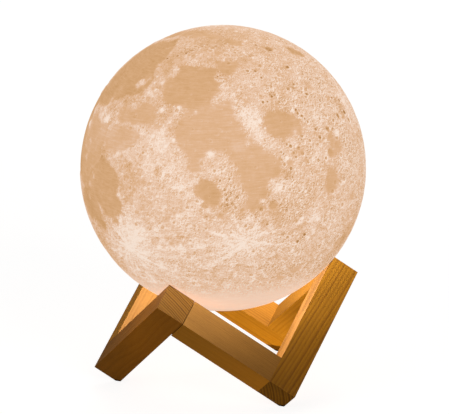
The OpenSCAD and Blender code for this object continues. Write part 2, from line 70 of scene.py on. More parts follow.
def add_camera():
    back = np.array([
        math.cos(ELEVATION) * math.cos(AZIMUTH),
        math.cos(ELEVATION) * math.sin(AZIMUTH),
        math.sin(ELEVATION),
    ])
    right = np.array([-math.sin(AZIMUTH), math.cos(AZIMUTH), 0.0])
    up = np.cross(back, right)
    c, s = math.cos(ROLL), math.sin(ROLL)
    right, up = c * right + s * up, -s * right + c * up
    place = TARGET + DISTANCE * back + SIDEWAYS * right + UPWARDS * up
    data = bpy.data.cameras.new("camera")
    data.sensor_fit = "HORIZONTAL"
    data.sensor_width = SENSOR
    data.lens = LENS
    data.clip_start, data.clip_end = 0.05, 60.0
    camera = bpy.data.objects.new("camera", data)
    scene.collection.objects.link(camera)
    camera.matrix_world = Matrix([[right[k], up[k], back[k], place[k]] for k in range(3)] + [[0, 0, 0, 1]])
    scene.camera = camera


add_camera()
scene.view_settings.view_transform = "Standard"


# ---------------------------------------------------------------- node helpers
class Number:
    """A node's output, on which arithmetic adds the node that does it."""

    def __init__(self, tree, socket):
        self.tree, self.socket = tree, socket

    def __add__(self, other):
        return self.tree.math("ADD", self, other)

    def __sub__(self, other):
        return self.tree.math("SUBTRACT", self, other)

    def __rsub__(self, other):
        return self.tree.math("SUBTRACT", other, self)

    def __mul__(self, other):
        return self.tree.math("MULTIPLY", self, other)

    def __truediv__(self, other):
        return self.tree.math("DIVIDE", self, other)

    def __rtruediv__(self, other):
        return self.tree.math("DIVIDE", other, self)


class Triple:
    """The same for a place, a direction or a colour: times a number, or @ for the dot product."""

    def __init__(self, tree, socket):
        self.tree, self.socket = tree, socket

    def __add__(self, other):
        return self.tree.vector("ADD", self, other)

    def __sub__(self, other):
        return self.tree.vector("SUBTRACT", self, other)

    def __mul__(self, other):
        return self.tree.vector("SCALE", self, scale=other)

    def __matmul__(self, other):
        return self.tree.vector("DOT_PRODUCT", self, tuple(other))


class Tree:
    """Short ways to add nodes to one node tree."""

    def __init__(self, node_tree):
        self.nodes, self.links = node_tree.nodes, node_tree.links
        self.nodes.clear()

    def put(self, value, socket):
        if isinstance(value, (Number, Triple)):
            self.links.new(value.socket, socket)
        elif isinstance(value, tuple) and len(value) == 3 and socket.type == "RGBA":
            socket.default_value = value + (1.0,)
        else:
            socket.default_value = value

    def math(self, how, a, b=0.0):
        n = self.nodes.new("ShaderNodeMath")
        n.operation = how
        self.put(a, n.inputs[0])
        self.put(b, n.inputs[1])
        return Number(self, n.outputs[0])

    def vector(self, how, a, b=(0, 0, 0), scale=1.0):
        n = self.nodes.new("ShaderNodeVectorMath")
        n.operation = how
        self.put(a, n.inputs[0])
        self.put(b, n.inputs[1])
        if how == "SCALE":
            self.put(scale, n.inputs["Scale"])
        if how in ("DOT_PRODUCT", "LENGTH", "DISTANCE"):
            return Number(self, n.outputs["Value"])
        return Triple(self, n.outputs[0])

    def combine(self, x, y, z):
        n = self.nodes.new("ShaderNodeCombineXYZ")
        for socket, value in zip(n.inputs, (x, y, z)):
            self.put(value, socket)
        return Triple(self, n.outputs[0])

    def split(self, triple):
        n = self.nodes.new("ShaderNodeSeparateXYZ")
        self.put(triple, n.inputs[0])
        return [Number(self, output) for output in n.outputs]

    def noise(self, where, scale, detail=3.0, roughness=0.5, distortion=0.0):
        n = self.nodes.new("ShaderNodeTexNoise")
        self.put(where, n.inputs["Vector"])
        for name, value in (("Scale", scale), ("Detail", detail), ("Roughness", roughness), ("Distortion", distortion)):
            self.put(value, n.inputs[name])
        return Number(self, n.outputs["Fac"])

    def cells(self, where, scale, feature="F1", randomness=1.0, metric="EUCLIDEAN"):
        """Distance to the middle or the edge of scattered cells."""
        n = self.nodes.new("ShaderNodeTexVoronoi")
        n.feature, n.distance = feature, metric
        self.put(where, n.inputs["Vector"])
        self.put(scale, n.inputs["Scale"])
        self.put(randomness, n.inputs["Randomness"])
        return Number(self, n.outputs["Distance"])

    def ramp(self, value, stops):
        n = self.nodes.new("ShaderNodeValToRGB")
        elements = n.color_ramp.elements
        while len(elements) < len(stops):
            elements.new(0.5)
        for element, (position, colour) in zip(elements, stops):
            element.position = position
            element.color = colour + (1.0,)
        self.put(value, n.inputs[0])
        return Triple(self, n.outputs["Color"])

    def between(self, value, low, high, to_low=0.0, to_high=1.0, smooth=False):
        n = self.nodes.new("ShaderNodeMapRange")
        n.interpolation_type = "SMOOTHSTEP" if smooth else "LINEAR"
        self.put(value, n.inputs["Value"])
        for name, v in (("From Min", low), ("From Max", high), ("To Min", to_low), ("To Max", to_high)):
            self.put(v, n.inputs[name])
        return Number(self, n.outputs[0])

    def step(self, value, low, high, to_low=0.0, to_high=1.0):
        return self.between(value, low, high, to_low, to_high, smooth=True)

    def mix(self, share, a, b):
        n = self.nodes.new("ShaderNodeMix")
        n.data_type = "RGBA"
        for value, socket in ((share, n.inputs[0]), (a, n.inputs[6]), (b, n.inputs[7])):
            self.put(value, socket)
        return Triple(self, n.outputs[2])

    def attribute(self, name):
        n = self.nodes.new("ShaderNodeAttribute")
        n.attribute_name = name
        return Number(self, n.outputs["Fac"])

    def attribute_triple(self, name):
        return Triple(self, self.attribute(name).socket.node.outputs["Vector"])

    def bump(self, height, distance, strength=1.0, under=None):
        n = self.nodes.new("ShaderNodeBump")
        self.put(strength, n.inputs["Strength"])
        self.put(distance, n.inputs["Distance"])
        self.put(height, n.inputs["Height"])
        if under is not None:
            self.put(under, n.inputs["Normal"])
        return Triple(self, n.outputs[0])

    def seen(self):
        """1 for what the camera sees, straight or through clear plastic."""
        path = self.nodes.new("ShaderNodeLightPath")
        straight, through = [Number(self, path.outputs[name]) for name in ("Is Camera Ray", "Is Transmission Ray")]
        return self.math("MAXIMUM", straight, through)


class Finish(Tree):
    """A material of one Principled shader. places is in metres in the row frame, and mm the same in millimetres."""

    def __init__(self, name):
        self.material = bpy.data.materials.new(name)
        self.material.use_nodes = True
        super().__init__(self.material.node_tree)
        self.shader = self.nodes.new("ShaderNodeBsdfPrincipled")
        out = self.nodes.new("ShaderNodeOutputMaterial")
        self.links.new(self.shader.outputs[0], out.inputs["Surface"])
        coordinates = self.nodes.new("ShaderNodeTexCoord")
        self.places = Triple(self, coordinates.outputs["Object"])
        self.normal = Triple(self, coordinates.outputs["Normal"])
        self.mm = self.places * 1000.0

    def set(self, name, value):
        self.put(value, self.shader.inputs[name])

    def set_colour(self, colour, tone):
        self.set("Base Color", self.vector("SCALE", colour, scale=tone))


def linear(r, g, b):
    """Linear colour of an sRGB colour given as 0 to 255."""
    return tuple(((c / 255) / 12.92) if c <= 10 else (((c / 255) + 0.055) / 1.055) ** 2.4 for c in (r, g, b))


def dress(node, finish):
    ob = NODES[node]
    if not ob.material_slots:
        ob.data.materials.append(finish.material)
    for s in ob.material_slots:
        s.material = finish.material


# ---------------------------------------------------------------- floor and backdrop
FLOOR_LIFT = 0.87
AMBIENT = 0.2


def add_floor():
    mesh = bpy.data.meshes.new("floor")
    turns = 96
    rings = [0.3, 0.8, 2.0, 6.0, 14.0]
    points, faces = [(0, 0, 0)], []
    for r in rings:
        for k in range(turns):
            a = 2 * math.pi * k / turns
            points.append((r * math.cos(a), r * math.sin(a), 0))
    for k in range(turns):
        faces.append((0, 1 + k, 1 + (k + 1) % turns))
    for ring in range(len(rings) - 1):
        a, b = 1 + ring * turns, 1 + (ring + 1) * turns
        for k in range(turns):
            m = (k + 1) % turns
            faces.append((a + k, b + k, b + m, a + m))
    mesh.from_pydata(points, [], faces)
    floor = bpy.data.objects.new("floor", mesh)
    scene.collection.objects.link(floor)
    t = Finish("floor_paper")
    t.set("Base Color", (0.35, 0.35, 0.35))
    t.set("Roughness", 0.9)
    t.set("Specular IOR Level", 0.0)
    t.set("Emission Color", (1.0, 1.0, 1.0))
    t.set("Emission Strength", t.seen() * FLOOR_LIFT)
    mesh.materials.append(t.material)


def add_backdrop():
    """White to the camera, and a faint even light to everything else."""
    scene.world = bpy.data.worlds.new("studio")
    scene.world.use_nodes = True
    t = Tree(scene.world.node_tree)
    mix = t.nodes.new("ShaderNodeMixShader")
    t.put(t.seen(), mix.inputs[0])
    _, others, camera = mix.inputs
    for socket, colour, strength in ((others, (1.0, 0.97, 0.94), AMBIENT), (camera, (1.0, 1.0, 1.0), 1.0)):
        background = t.nodes.new("ShaderNodeBackground")
        t.put(colour, background.inputs["Color"])
        t.put(strength, background.inputs["Strength"])
        t.links.new(background.outputs[0], socket)
    out = t.nodes.new("ShaderNodeOutputWorld")
    t.links.new(mix.outputs[0], out.inputs["Surface"])


add_floor()
add_backdrop()

# ---------------------------------------------------------------- printed moon
# Lengths in this part are in millimetres until the mesh is written
RADIUS = 75.0
BALL = np.array([0.0, 0.0, 115.3948])
OUTSIDE, SHELL_INSIDE = 74.93, 73.0
NECK = 22.0
SPACING, INNER_SPACING = 0.875, 3.4
MOON_KM = 1737.4
MM_PER_KM = RADIUS / MOON_KM
# Tone of plain ground, and the radius that no hill passes
LAND, HILL_TOP = 0.64, 74.86
# Depth into a plain that stands for ground far from its shore
FAR_OFF = -30.0
# Side from which light falls in the shade painted into the print's colour
PAINTED_LIGHT_SIDE = (-0.7, 0.0, 0.71)
# Light that the print gives back, and light that comes through it
MOON_BASE, MOON_GLOW = 0.34, 0.84
# Height of a layer of the print, and how much larger and stronger the specks are than listed
LAYER, SPECK_GAIN = 0.42, 1.35


def turn(axis, degrees):
    a = math.radians(degrees)
    c, s = math.cos(a), math.sin(a)
    if axis == "Z":
        return np.array([[c, -s, 0], [s, c, 0], [0, 0, 1]])
    return np.array([[1, 0, 0], [0, c, -s], [0, s, c]])


# How the Moon's own globe is turned on the lamp, as in the solids
GLOBE = turn("Z", 153) @ turn("X", 22) @ turn("Z", 78)

# Dark plains by their shores, as latitude and east longitude; before them a tone from 0 dark to 1 white
SHORES = [
    (0.27, [(52, -26), (51.5, -16), (50.5, -8), (47, -4.5), (43, -3.5), (39.5, -2.5), (36, -4), (33, -4), (30, -2.5),
        (26, -1.5), (22.5, -3.5), (20.3, -7), (19.5, -13), (17.5, -19), (15.5, -26), (16, -36), (22, -40), (30, -40),
        (38, -37), (46, -37)]),
    (0.36, [(35, 10.5), (36.8, 14), (35.2, 18.5), (35, 21.5), (35.8, 25), (36, 27.5), (32, 27.8), (30, 30.5), (26, 31),
        (22, 29.5), (19, 29), (17, 24), (16.3, 19), (16.5, 14), (17.8, 10), (20, 8), (22, 6.3), (25, 5.5), (28, 6.3),
        (30.3, 9)]),
    (0.25, [(35, 10.5), (36.8, 14), (35.2, 18.5), (35, 21.5), (35.8, 25), (36, 27.5), (33, 28), (32.4, 22), (32.6, 15),
        (32.2, 10.5)]),
    (0.4, [(40, 27), (41, 33), (39, 38), (36, 38), (34, 35), (35, 30), (37, 27)]),
    (0.48, [(19, 24), (17, 21), (14, 18), (10, 18.8), (6.6, 16.8), (2.7, 18), (0, 20), (-1.6, 23), (-3.7, 25.3),
        (-7, 25), (-9.5, 27), (-8.5, 29), (-4.5, 30), (-0.8, 30.7), (1, 33), (0.2, 37), (-0.5, 40), (3, 43), (8, 44),
        (10.5, 43), (13.8, 40), (17, 40), (19, 38.5), (21.5, 37), (21, 34), (18.5, 31), (19.5, 27)]),
    (0.36, [(12, 40.5), (11.5, 43), (10, 46), (9.7, 44), (10.5, 41)]),
    (0.45, [(9, 40), (9, 42.5), (8, 47), (5.5, 51), (3, 55.5), (2, 59.5), (0.5, 60.8), (-3, 61.5), (-6, 60),
        (-7.5, 57.5), (-10, 57), (-12, 58), (-14, 57), (-16, 55), (-18, 56), (-20.5, 54), (-20, 51), (-17, 49.5),
        (-15.5, 50.5), (-13, 48), (-10, 46.5), (-9.5, 44.7), (-5, 43.5), (-2.5, 41.5), (1, 39)]),
    (0.34, [(-10.6, 33.5), (-12.4, 37), (-14.2, 39), (-17.5, 39.4), (-20.5, 39.8), (-22, 36.8), (-21.3, 33),
        (-18.8, 31), (-17, 29.3), (-15.2, 27.8), (-13.2, 28.8), (-11.4, 30.8)]),
    (0.38, [(19.5, 52.3), (20.6, 55.2), (21.3, 58.5), (21.1, 61.7), (20.2, 64.6), (18.6, 66.9), (16.4, 68.4),
        (14, 68.2), (12.3, 66.4), (11, 63.5), (10.1, 60), (10.2, 56.6), (11.2, 53.9), (13.5, 52.3), (17, 51.7)]),
    (0.3, [(20.5, 63), (20.2, 64.6), (18.6, 66.9), (16.4, 68.4), (14, 68.2), (13.4, 66.5), (16, 66.2), (18.6, 64.6)]),
    (0.38, [(-15, -26), (-24, -25), (-30, -24), (-34, -30), (-30, -35), (-22, -34), (-15, -35)]),
    (0.44, [(15, -3), (16, 0.5), (16.5, 4), (15, 7), (11.5, 7.5), (9, 6.5), (8, 1.5), (7.5, -3), (9.5, -8.5), (12, -12),
        (14, -10), (13, -5.5)]),
    (0.51, [(6, -5), (5, 0), (1.5, 1), (-1, -1), (-2.5, -4), (-4, -10), (-3, -16), (0, -19), (4, -17), (7, -12)]),
    (0.42, [(7, -17), (8, -24), (12, -33), (10, -40), (4, -42), (-2, -36), (-4, -28), (-3, -20), (2, -17)]),
    (0.31, [(-8, -14), (-11, -10), (-14, -8), (-17, -7.5), (-20.5, -10), (-24.5, -7.3), (-28.3, -8), (-30, -12),
        (-30.5, -17), (-27, -22), (-23, -27), (-17, -28), (-10, -26), (-6, -20)]),
    (0.36, [(-2, -20), (-6, -20), (-10, -26), (-17, -28), (-17, -36), (-12, -45), (0, -50), (4, -42), (-2, -36),
        (-4, -28)]),
    (0.42, [(15.5, 82.5), (18, 84), (16, 87), (14.5, 91), (11, 92.5), (9.5, 89), (7, 86), (8, 83), (12, 84)]),
    (0.4, [(3.5, 84.5), (3, 88), (-1, 91.5), (-5, 91), (-8.5, 87), (-7.5, 84.5), (-3, 83), (0, 83)]),
    (0.2, [(58.6, 73.5), (59.3, 79), (58.6, 85), (56.4, 89), (54, 87), (54.3, 80), (55, 75)]),
    (0.42, [(56.5, 24), (57, 31), (55.5, 38), (53, 39), (52.8, 33), (54.3, 26)]),
]
# Round ones: latitude, east longitude, diameter in km, tone
SEAS = [
    (57, -38, 240, 0.36), (58.5, -24, 240, 0.36), (59.5, -10, 230, 0.4), (58.5, 4, 220, 0.46), (57, 15, 180, 0.5),
    (50, -52, 420, 0.22), (38, -58, 560, 0.2), (25, -58, 760, 0.2), (10, -55, 760, 0.22), (-3, -50, 460, 0.24),
    (8, -44, 460, 0.3), (19, -46, 520, 0.24), (-24.4, -38.6, 390, 0.36), (-12, -38, 300, 0.34), (-33, -27, 120, 0.26),
    (-32, -14, 90, 0.3), (10.8, -8.5, 200, 0.46), (6.8, 68.4, 100, 0.47), (1.2, 65.2, 80, 0.5), (3.5, 72, 70, 0.5),
    (5, 66, 60, 0.47), (45, 26, 70, 0.45), (53.6, 56.6, 85, 0.32), (38.5, 47, 40, 0.33), (43.5, 64.5, 45, 0.28),
    (8.7, 84.6, 80, 0.4), (-24, 40.5, 70, 0.42), (-41, 92, 150, 0.52), (-48, 86, 120, 0.52), (-17, 61.5, 100, 0.5),
    (-18.6, 56.6, 70, 0.36), (-20, 49, 110, 0.5), (-26, 4, 90, 0.53), (26, 96, 45, 0.2), (24, 92.5, 40, 0.26),
    (15, 76, 35, 0.32), (12.5, 78.5, 30, 0.34), (33, 88, 60, 0.4), (22.5, 66.5, 35, 0.34), (25.5, 55, 55, 0.42),
    (22.5, 43.5, 50, 0.42), (27.3, 148, 255, 0.3), (31, 151, 120, 0.34), (-19.9, -94.7, 290, 0.28),
    (-27, -88, 90, 0.42), (-33.3, 163.7, 250, 0.4), (-20.4, 129.1, 125, 0.2), (-5.2, -68.6, 165, 0.2),
    (51.6, -9.4, 92, 0.18), (-35, 147.5, 130, 0.36), (-36.1, -152, 230, 0.44), (-16.9, 173.3, 100, 0.45),
    (-10.5, -157, 210, 0.5), (-48, 175, 220, 0.5), (-56, -162, 300, 0.5), (-39, -173, 140, 0.42), (6, 140.9, 150, 0.48),
    (41.5, -155, 110, 0.5), (-44.4, -55.3, 150, 0.34), (58.5, 161, 120, 0.48), (-5.5, 105, 90, 0.5),
    (35.7, 76.7, 60, 0.5),
]
# Raised ground inside a plain: latitude, east longitude, diameter in km
ISLANDS = [
    (25.5, -7.5, 130), (28, -3.5, 70), (45.5, -8.8, 30), (5.6, 46.5, 40), (-17, -30, 80), (-14, -26, 50),
    (-21, -33, 70), (9.6, -20, 190), (14, -22, 160), (1, -31, 60), (-6, -34, 60), (24, -47.4, 120), (18, -22, 60),
    (8.1, -38, 70),
]
# Pale ground: latitude, east longitude, radius in km, amount
PALE = [
    (2, 10, 150, 0.2), (1, 14, 90, 0.1), (-8.5, 8, 110, 0.14), (-8, 18, 130, 0.18), (5, 3.5, 55, 0.22),
    (-2, 14, 190, 0.08), (-14.5, 22, 60, 0.2), (-11, 14.5, 60, 0.16), (-17, 9.5, 45, 0.16), (-17.5, 3, 60, 0.18),
    (-19, 4, 60, 0.12), (-14, 24, 160, 0.1), (-25, 27, 60, 0.12), (-28, 23, 80, 0.14), (-21.5, 29.5, 50, 0.14),
    (14.5, 9.1, 38, 0.42), (16.3, 16, 42, 0.42), (15.4, 23.7, 26, 0.34), (16, 19, 50, 0.12), (2.8, 17.3, 26, 0.36),
    (12, 14.5, 80, 0.14), (7, 12, 90, 0.14), (-0.5, 32.7, 40, 0.34), (-2.5, 33, 90, 0.12), (-6.5, 35.5, 120, 0.08),
    (22, 2, 75, 0.24), (26.5, 4.5, 60, 0.14), (19.5, -2, 70, 0.1), (28, -3, 130, 0.18), (33, 8, 40, 0.16),
    (36.5, 12, 45, 0.18), (38, 14, 45, 0.14), (35, 5, 60, 0.12), (-4.5, -8.6, 55, 0.3), (-3.8, -4.5, 40, 0.2),
    (-0.8, -5.9, 22, 0.25), (16, 46.5, 100, 0.2), (12.5, 48.5, 90, 0.14), (19, 43.5, 60, 0.14), (9.5, 50.5, 80, 0.14),
    (14, 44, 170, 0.06), (7, 53, 170, 0.08), (21.5, 41, 40, 0.1), (-9, 61, 70, 0.16), (-9, 63.5, 80, 0.08),
    (10.5, 64, 50, 0.16), (23.5, 65, 45, 0.2), (17.5, 72.5, 90, 0.1), (22, 76, 120, 0.08), (16.4, 88, 40, 0.26),
    (5, 62, 30, 0.22), (-33, 55, 190, 0.12), (-31.8, 51.6, 60, 0.1), (-33.5, 59, 60, 0.08), (22, -20, 90, 0.14),
    (4, -21, 90, 0.14), (-25, 52.5, 60, 0.12), (-27.5, 66, 110, 0.1), (-19, 25.5, 110, 0.12), (-13, 28, 60, 0.1),
    (-8.5, 36, 60, 0.12), (-17, 40.5, 60, 0.16), (24, 79, 80, 0.12), (14, 66, 60, 0.16), (7, 66, 60, 0.1),
    (-6, -2, 110, 0.12), (-27, 57, 60, 0.08), (-30, 73, 70, 0.1), (31, 43, 70, 0.08), (4, 43.5, 100, 0.2),
    (-36, 42, 230, 0.1), (-47, 42, 90, 0.1), (7, 82, 70, 0.08), (5, 0, 70, 0.14), (-17, 84, 60, 0.18),
    (-34, -5, 170, 0.2), (-38, -8, 160, 0.1), (-43.3, -11.2, 120, 0.22), (-40, 0, 190, 0.1), (-46, -2, 150, 0.1),
    (-50, 6, 140, 0.08), (-35, 78, 40, 0.16), (-40, 30, 60, 0.08), (-24, 2, 60, 0.1), (9.6, -20.1, 62, 0.34),
    (9.6, -20.1, 200, 0.12), (13, -22, 140, 0.12), (17, -24, 90, 0.1), (8.1, -38, 40, 0.34), (8.1, -38, 150, 0.16),
    (23.7, -47.4, 60, 0.5), (27, -52, 180, 0.1), (32, 40, 110, 0.06), (29, 34, 50, 0.12), (24, 33.5, 45, 0.14),
    (60, 50, 70, 0.1), (73.4, -10.1, 90, 0.2), (35.9, 102.8, 120, 0.26), (22.4, -163.1, 120, 0.28),
    (-24.6, -63.7, 60, 0.24), (35, 61, 60, 0.1), (46, 48, 60, 0.1), (-58, 60, 260, 0.04), (3, 101, 110, 0.08),
    (28, 108, 200, 0.05), (-60, -40, 260, 0.05), (10, 118, 260, 0.05), (-14.5, 128, 60, 0.2), (-10, -128, 160, 0.12),
    (-6, -141, 110, 0.14), (30, -148, 160, 0.1), (10, 160, 220, 0.06), (-65, 130, 200, 0.06), (58, -110, 220, 0.06),
]
# Dusky ground, and less dusky where the amount is below zero: latitude, east longitude, radius in km, amount
DUSKY = [
    (43, 3, 130, 0.16), (34, 4, 70, 0.16), (37, 10, 50, 0.14), (36, 1, 110, 0.22), (29, -1, 90, 0.3), (31, 5, 60, 0.14),
    (16, 7, 60, 0.12), (21, 60.5, 60, 0.16), (-20.5, 54.5, 50, 0.14), (-15, 57.5, 50, 0.12), (32, 98, 120, 0.12),
    (13, -22, 90, 0.1), (-22, 87, 80, 0.1), (-27, 90, 80, 0.1), (41, 60, 80, 0.08), (47, 27, 80, 0.08),
    (24, 1, 60, 0.1), (20, -4, 90, 0.2), (18, -11, 110, 0.2), (13, -19, 150, 0.24), (9, -19, 120, 0.14),
    (12, -1, 90, 0.08), (4, -7, 110, 0.1), (-7, -18, 90, 0.12), (19, 2, 60, 0.12), (14, 11, 110, 0.2),
    (11, 16, 90, 0.2), (9, 9, 90, 0.16), (17, 20, 60, 0.1), (5, 15, 110, 0.08), (52, 18, 160, 0.2), (60, 0, 240, 0.2),
    (60, 25, 240, 0.18), (62, 50, 240, 0.12), (45, 12, 140, 0.14), (43, 40, 160, 0.12), (-20, -36, 120, 0.25),
    (-27, -36, 120, 0.22), (-12, -30, 80, 0.12), (30, 62, 120, 0.06), (34, 32, 90, 0.2), (41, 24, 80, 0.1),
    (52, 55, 170, 0.1), (24, 59, 80, 0.14), (19, 70, 60, 0.14), (31, 96, 140, 0.2), (40, 100, 200, 0.1),
    (20, 108, 220, 0.12), (0, 112, 260, 0.1), (-4, 63, 120, 0.22), (-12, 57.5, 80, 0.16), (-19, 55, 80, 0.12),
    (-18, 63, 170, 0.18), (-22, 72, 200, 0.1), (-12, 35, 70, 0.08), (-16, 43, 90, 0.14), (-21, 42, 90, 0.08),
    (-8, -3, 120, 0.14), (-15, 1, 170, 0.2), (-19, -5, 130, 0.12), (-3, -18, 90, 0.24), (-22, -30, 130, 0.14),
    (-32, -30, 150, 0.26), (-30, -22, 70, 0.12), (-23, -3, 90, 0.16), (-22, 49, 60, 0.16), (36, 64, 80, 0.12),
    (8, 84, 60, -0.1), (15, 67, 70, -0.2), (7, 78, 70, -0.16), (20, 80, 80, -0.12), (-6, 66, 60, -0.2),
    (-40, -38, 190, 0.26), (-50, -42, 200, 0.22), (-8, -45, 160, 0.2), (-22, -45, 160, 0.2), (-27, 17, 120, 0.07),
    (-22, 115, 200, 0.34), (-35, 115, 220, 0.22), (-10, 115, 200, 0.1), (-40, 85, 220, 0.06), (-3, 33, 90, 0.06),
]
# Rayed craters: latitude, east longitude, reach of the rays in km, amount, number of rays
RAYED = [
    (-43.3, -11.2, 1150, 0.3, 13), (9.6, -20.1, 420, 0.2, 17), (8.1, -38, 300, 0.18, 11), (23.7, -47.4, 260, 0.2, 9),
    (16.1, 46.8, 200, 0.12, 7), (-31.8, 51.6, 460, 0.18, 11), (-33.5, 59, 380, 0.16, 9), (-9, 61, 240, 0.1, 9),
    (73.4, -10.1, 500, 0.16, 9), (35.9, 102.8, 620, 0.24, 12), (22.4, -163.1, 560, 0.24, 11),
    (61.8, 50.3, 320, 0.12, 8), (-24.6, -63.7, 320, 0.14, 9), (-0.4, 32.7, 130, 0.1, 7), (-43, 175, 420, 0.12, 9),
    (4.5, -130, 480, 0.14, 9), (-52, 120, 380, 0.12, 8),
]
# Those whose rays are drawn in fine threads: latitude, east longitude, reach in mm, amount, number
FINE_RAYS = [
    (-32.6, 54, 21, 0.36, 16), (-43.3, -11.2, 46, 0.3, 18), (16.1, 46.8, 12, 0.2, 12), (9.6, -20.1, 16, 0.2, 14),
    (-8.9, 61.1, 7, 0.2, 12), (-44, 25, 14, 0.2, 14), (35.9, 102.8, 30, 0.26, 18), (22.4, -163.1, 28, 0.26, 16),
]
# Long single rays, and gaps between them: latitude and east longitude of both ends, half width in km, amount
LONG_RAYS = [
    (-41, -11, -23, 28, 16, 0.16), (-43, -11, -30, 16, 14, 0.12), (-42, -8, -37, 40, 15, 0.13),
    (-43, -11, -54, 14, 16, 0.14), (-44, -8, -46, 30, 12, 0.1), (-34, 54, -49, 37, 22, 0.2),
    (-33, 53, -31, 35, 15, 0.18), (-34, 53, -39, 30, 14, 0.16), (-35, 55, -52, 52, 16, 0.14),
    (-31, 56, -17, 82, 15, 0.18), (-33, 58, -30, 80, 14, 0.14), (-35, 58, -42, 78, 14, 0.12),
    (-31, 52, -22, 45, 15, 0.16), (-22, 75, -17, 84, 14, 0.18), (-50, 60, -45, 85, 16, 0.1),
    (-56, 20, -55, 60, 16, 0.08), (-38, 2, -34, 32, 14, -0.12), (-45, 2, -41, 36, 15, -0.12),
    (-40, 56, -37, 76, 14, -0.1), (-28, 4, -26, 22, 16, -0.08), (-47, 42, -44, 62, 15, -0.1),
    (-51, 20, -50, 44, 14, -0.1),
]
# Small dark and bright marks: latitude, east longitude, radius in mm, tone
SPECKS = [
    (44, 66, 1.0, -2.2), (38, 47, 0.8, -1.6), (37.5, 43, 0.9, -1.4), (35, 50, 0.7, -1.2), (35, 67, 0.9, -1.2),
    (32, 63.5, 1.1, -1.0), (31.5, 73.5, 1.0, -1.2), (27, 55, 0.8, -1.4), (28, 56.5, 0.6, -1.2), (23.6, 51, 0.8, -1.8),
    (24.2, 53, 0.6, -1.6), (25, 58.5, 0.6, -1.2), (24.3, 65.5, 0.7, -1.8), (23, 66.3, 0.8, -1.8),
    (21.8, 67.2, 0.8, -1.6), (20.9, 69.2, 0.9, -1.8), (27, 70, 0.6, -1.4), (30, 81, 0.8, -1.4), (33, 91, 0.8, -1.4),
    (33, 98, 1.1, -1.8), (25.3, 91.8, 1.4, -1.4), (28, 99, 1.3, -2.4), (25, 101.5, 1.3, -1.6), (22.5, 87.5, 1.0, -1.4),
    (19, 72, 0.7, -1.4), (20, 70.5, 0.6, -1.2), (18, 83, 1.5, -1.4), (18.6, 86.2, 0.9, -1.4), (15.8, 88.8, 1.3, -1.8),
    (16.6, 76, 0.8, -1.6), (13.8, 78.2, 1.1, -1.8), (12.5, 69, 0.8, -1.4), (7.6, 64.2, 0.9, -1.6), (8, 62.5, 0.7, -1.2),
    (7.5, 68, 1.0, -1.4), (5.8, 70, 1.0, -1.2), (11.5, 73, 0.8, -1.2), (9, 73.6, 0.7, -1.4), (4, 61.5, 0.7, -1.4),
    (5.5, 66.5, 1.2, -1.0), (4.5, 60.5, 0.6, -1.4), (5.2, 66, 0.7, -1.4), (3.8, 67.2, 0.7, -1.2), (4.5, 78, 0.9, -1.2),
    (3, 73, 0.8, -1.0), (-1, 65.6, 0.9, -1.4), (0, 62.5, 0.8, -1.2), (-6, 89, 1.1, -1.4), (-25.5, 82, 0.9, -1.8),
    (-29, 80, 0.9, -2.4), (-24.5, 61.5, 0.8, -1.0), (-37.5, 60, 0.9, -0.8), (-11.7, 42.6, 0.7, -1.1),
    (-12.3, 44, 0.6, -1.2), (-13.7, 40.5, 0.8, -0.9), (-14.6, 43, 0.7, -1.1), (-15.6, 41, 0.8, -1.0),
    (-16, 46, 0.9, -1.0), (-17.6, 42, 0.9, -1.2), (-18.8, 44.6, 0.9, -0.9), (-19.6, 42.4, 0.8, -1.2),
    (-13, 47.8, 0.7, -1.0), (-20, 46, 0.8, -1.2), (-10.6, 38, 0.7, -1.4), (-9.3, 41.5, 0.7, -1.2), (-19, 57, 1.0, -1.2),
    (47, 35, 0.8, -1.2), (40, 33, 0.9, -1.2), (43, 8, 0.7, -1.2), (41, 4, 0.8, -1.2), (39, -1, 0.7, -1.4),
    (50.5, 33, 0.8, -1.2), (55, 48, 0.8, -1.2), (-8.5, 4, 0.8, -0.8), (-20, 30, 0.8, -1.0), (-23, 26, 0.9, -0.8),
    (-30, 20, 0.8, -0.8), (6, 82, 0.9, -1.2), (0, 95, 1.2, -1.0), (-10, 98, 1.2, -1.0), (22.6, 64.4, 1.0, 1.6),
    (39.5, 71, 0.9, 1.2), (18, 88.6, 1.5, 1.8), (14, 65.6, 0.9, 1.6), (15.5, 50, 1.0, 1.4), (8, 66.2, 0.7, 1.4),
    (3, 63, 1.0, 2.0), (-17, 73, 0.8, 1.4), (-18, 85, 1.2, 1.6), (-33, 79.5, 1.0, 1.6), (-8.5, 74, 0.8, 1.2),
    (-22.5, 85, 1.0, 1.2), (14.5, 9.1, 0.9, 1.8), (16.3, 16, 0.8, 1.8), (15.4, 23.7, 0.6, 1.6), (2.8, 17.3, 0.7, 1.8),
    (16.5, 14, 0.6, 1.4), (17, 12, 0.6, 1.2), (-0.5, 32.7, 0.7, 1.4), (-11, 14.5, 0.7, 1.4), (-14, 9, 0.7, 1.4),
    (-12.6, 5, 0.6, 1.2), (23, 2.5, 0.8, 1.2), (26, 0.5, 0.7, 1.2), (29, 0, 0.7, 1.2), (46, 45, 0.8, 1.4),
    (48, 40, 0.7, 1.2), (30, 45, 0.8, 1.2), (25, 66, 0.7, 1.6), (13, 52.5, 0.7, 1.4),
]
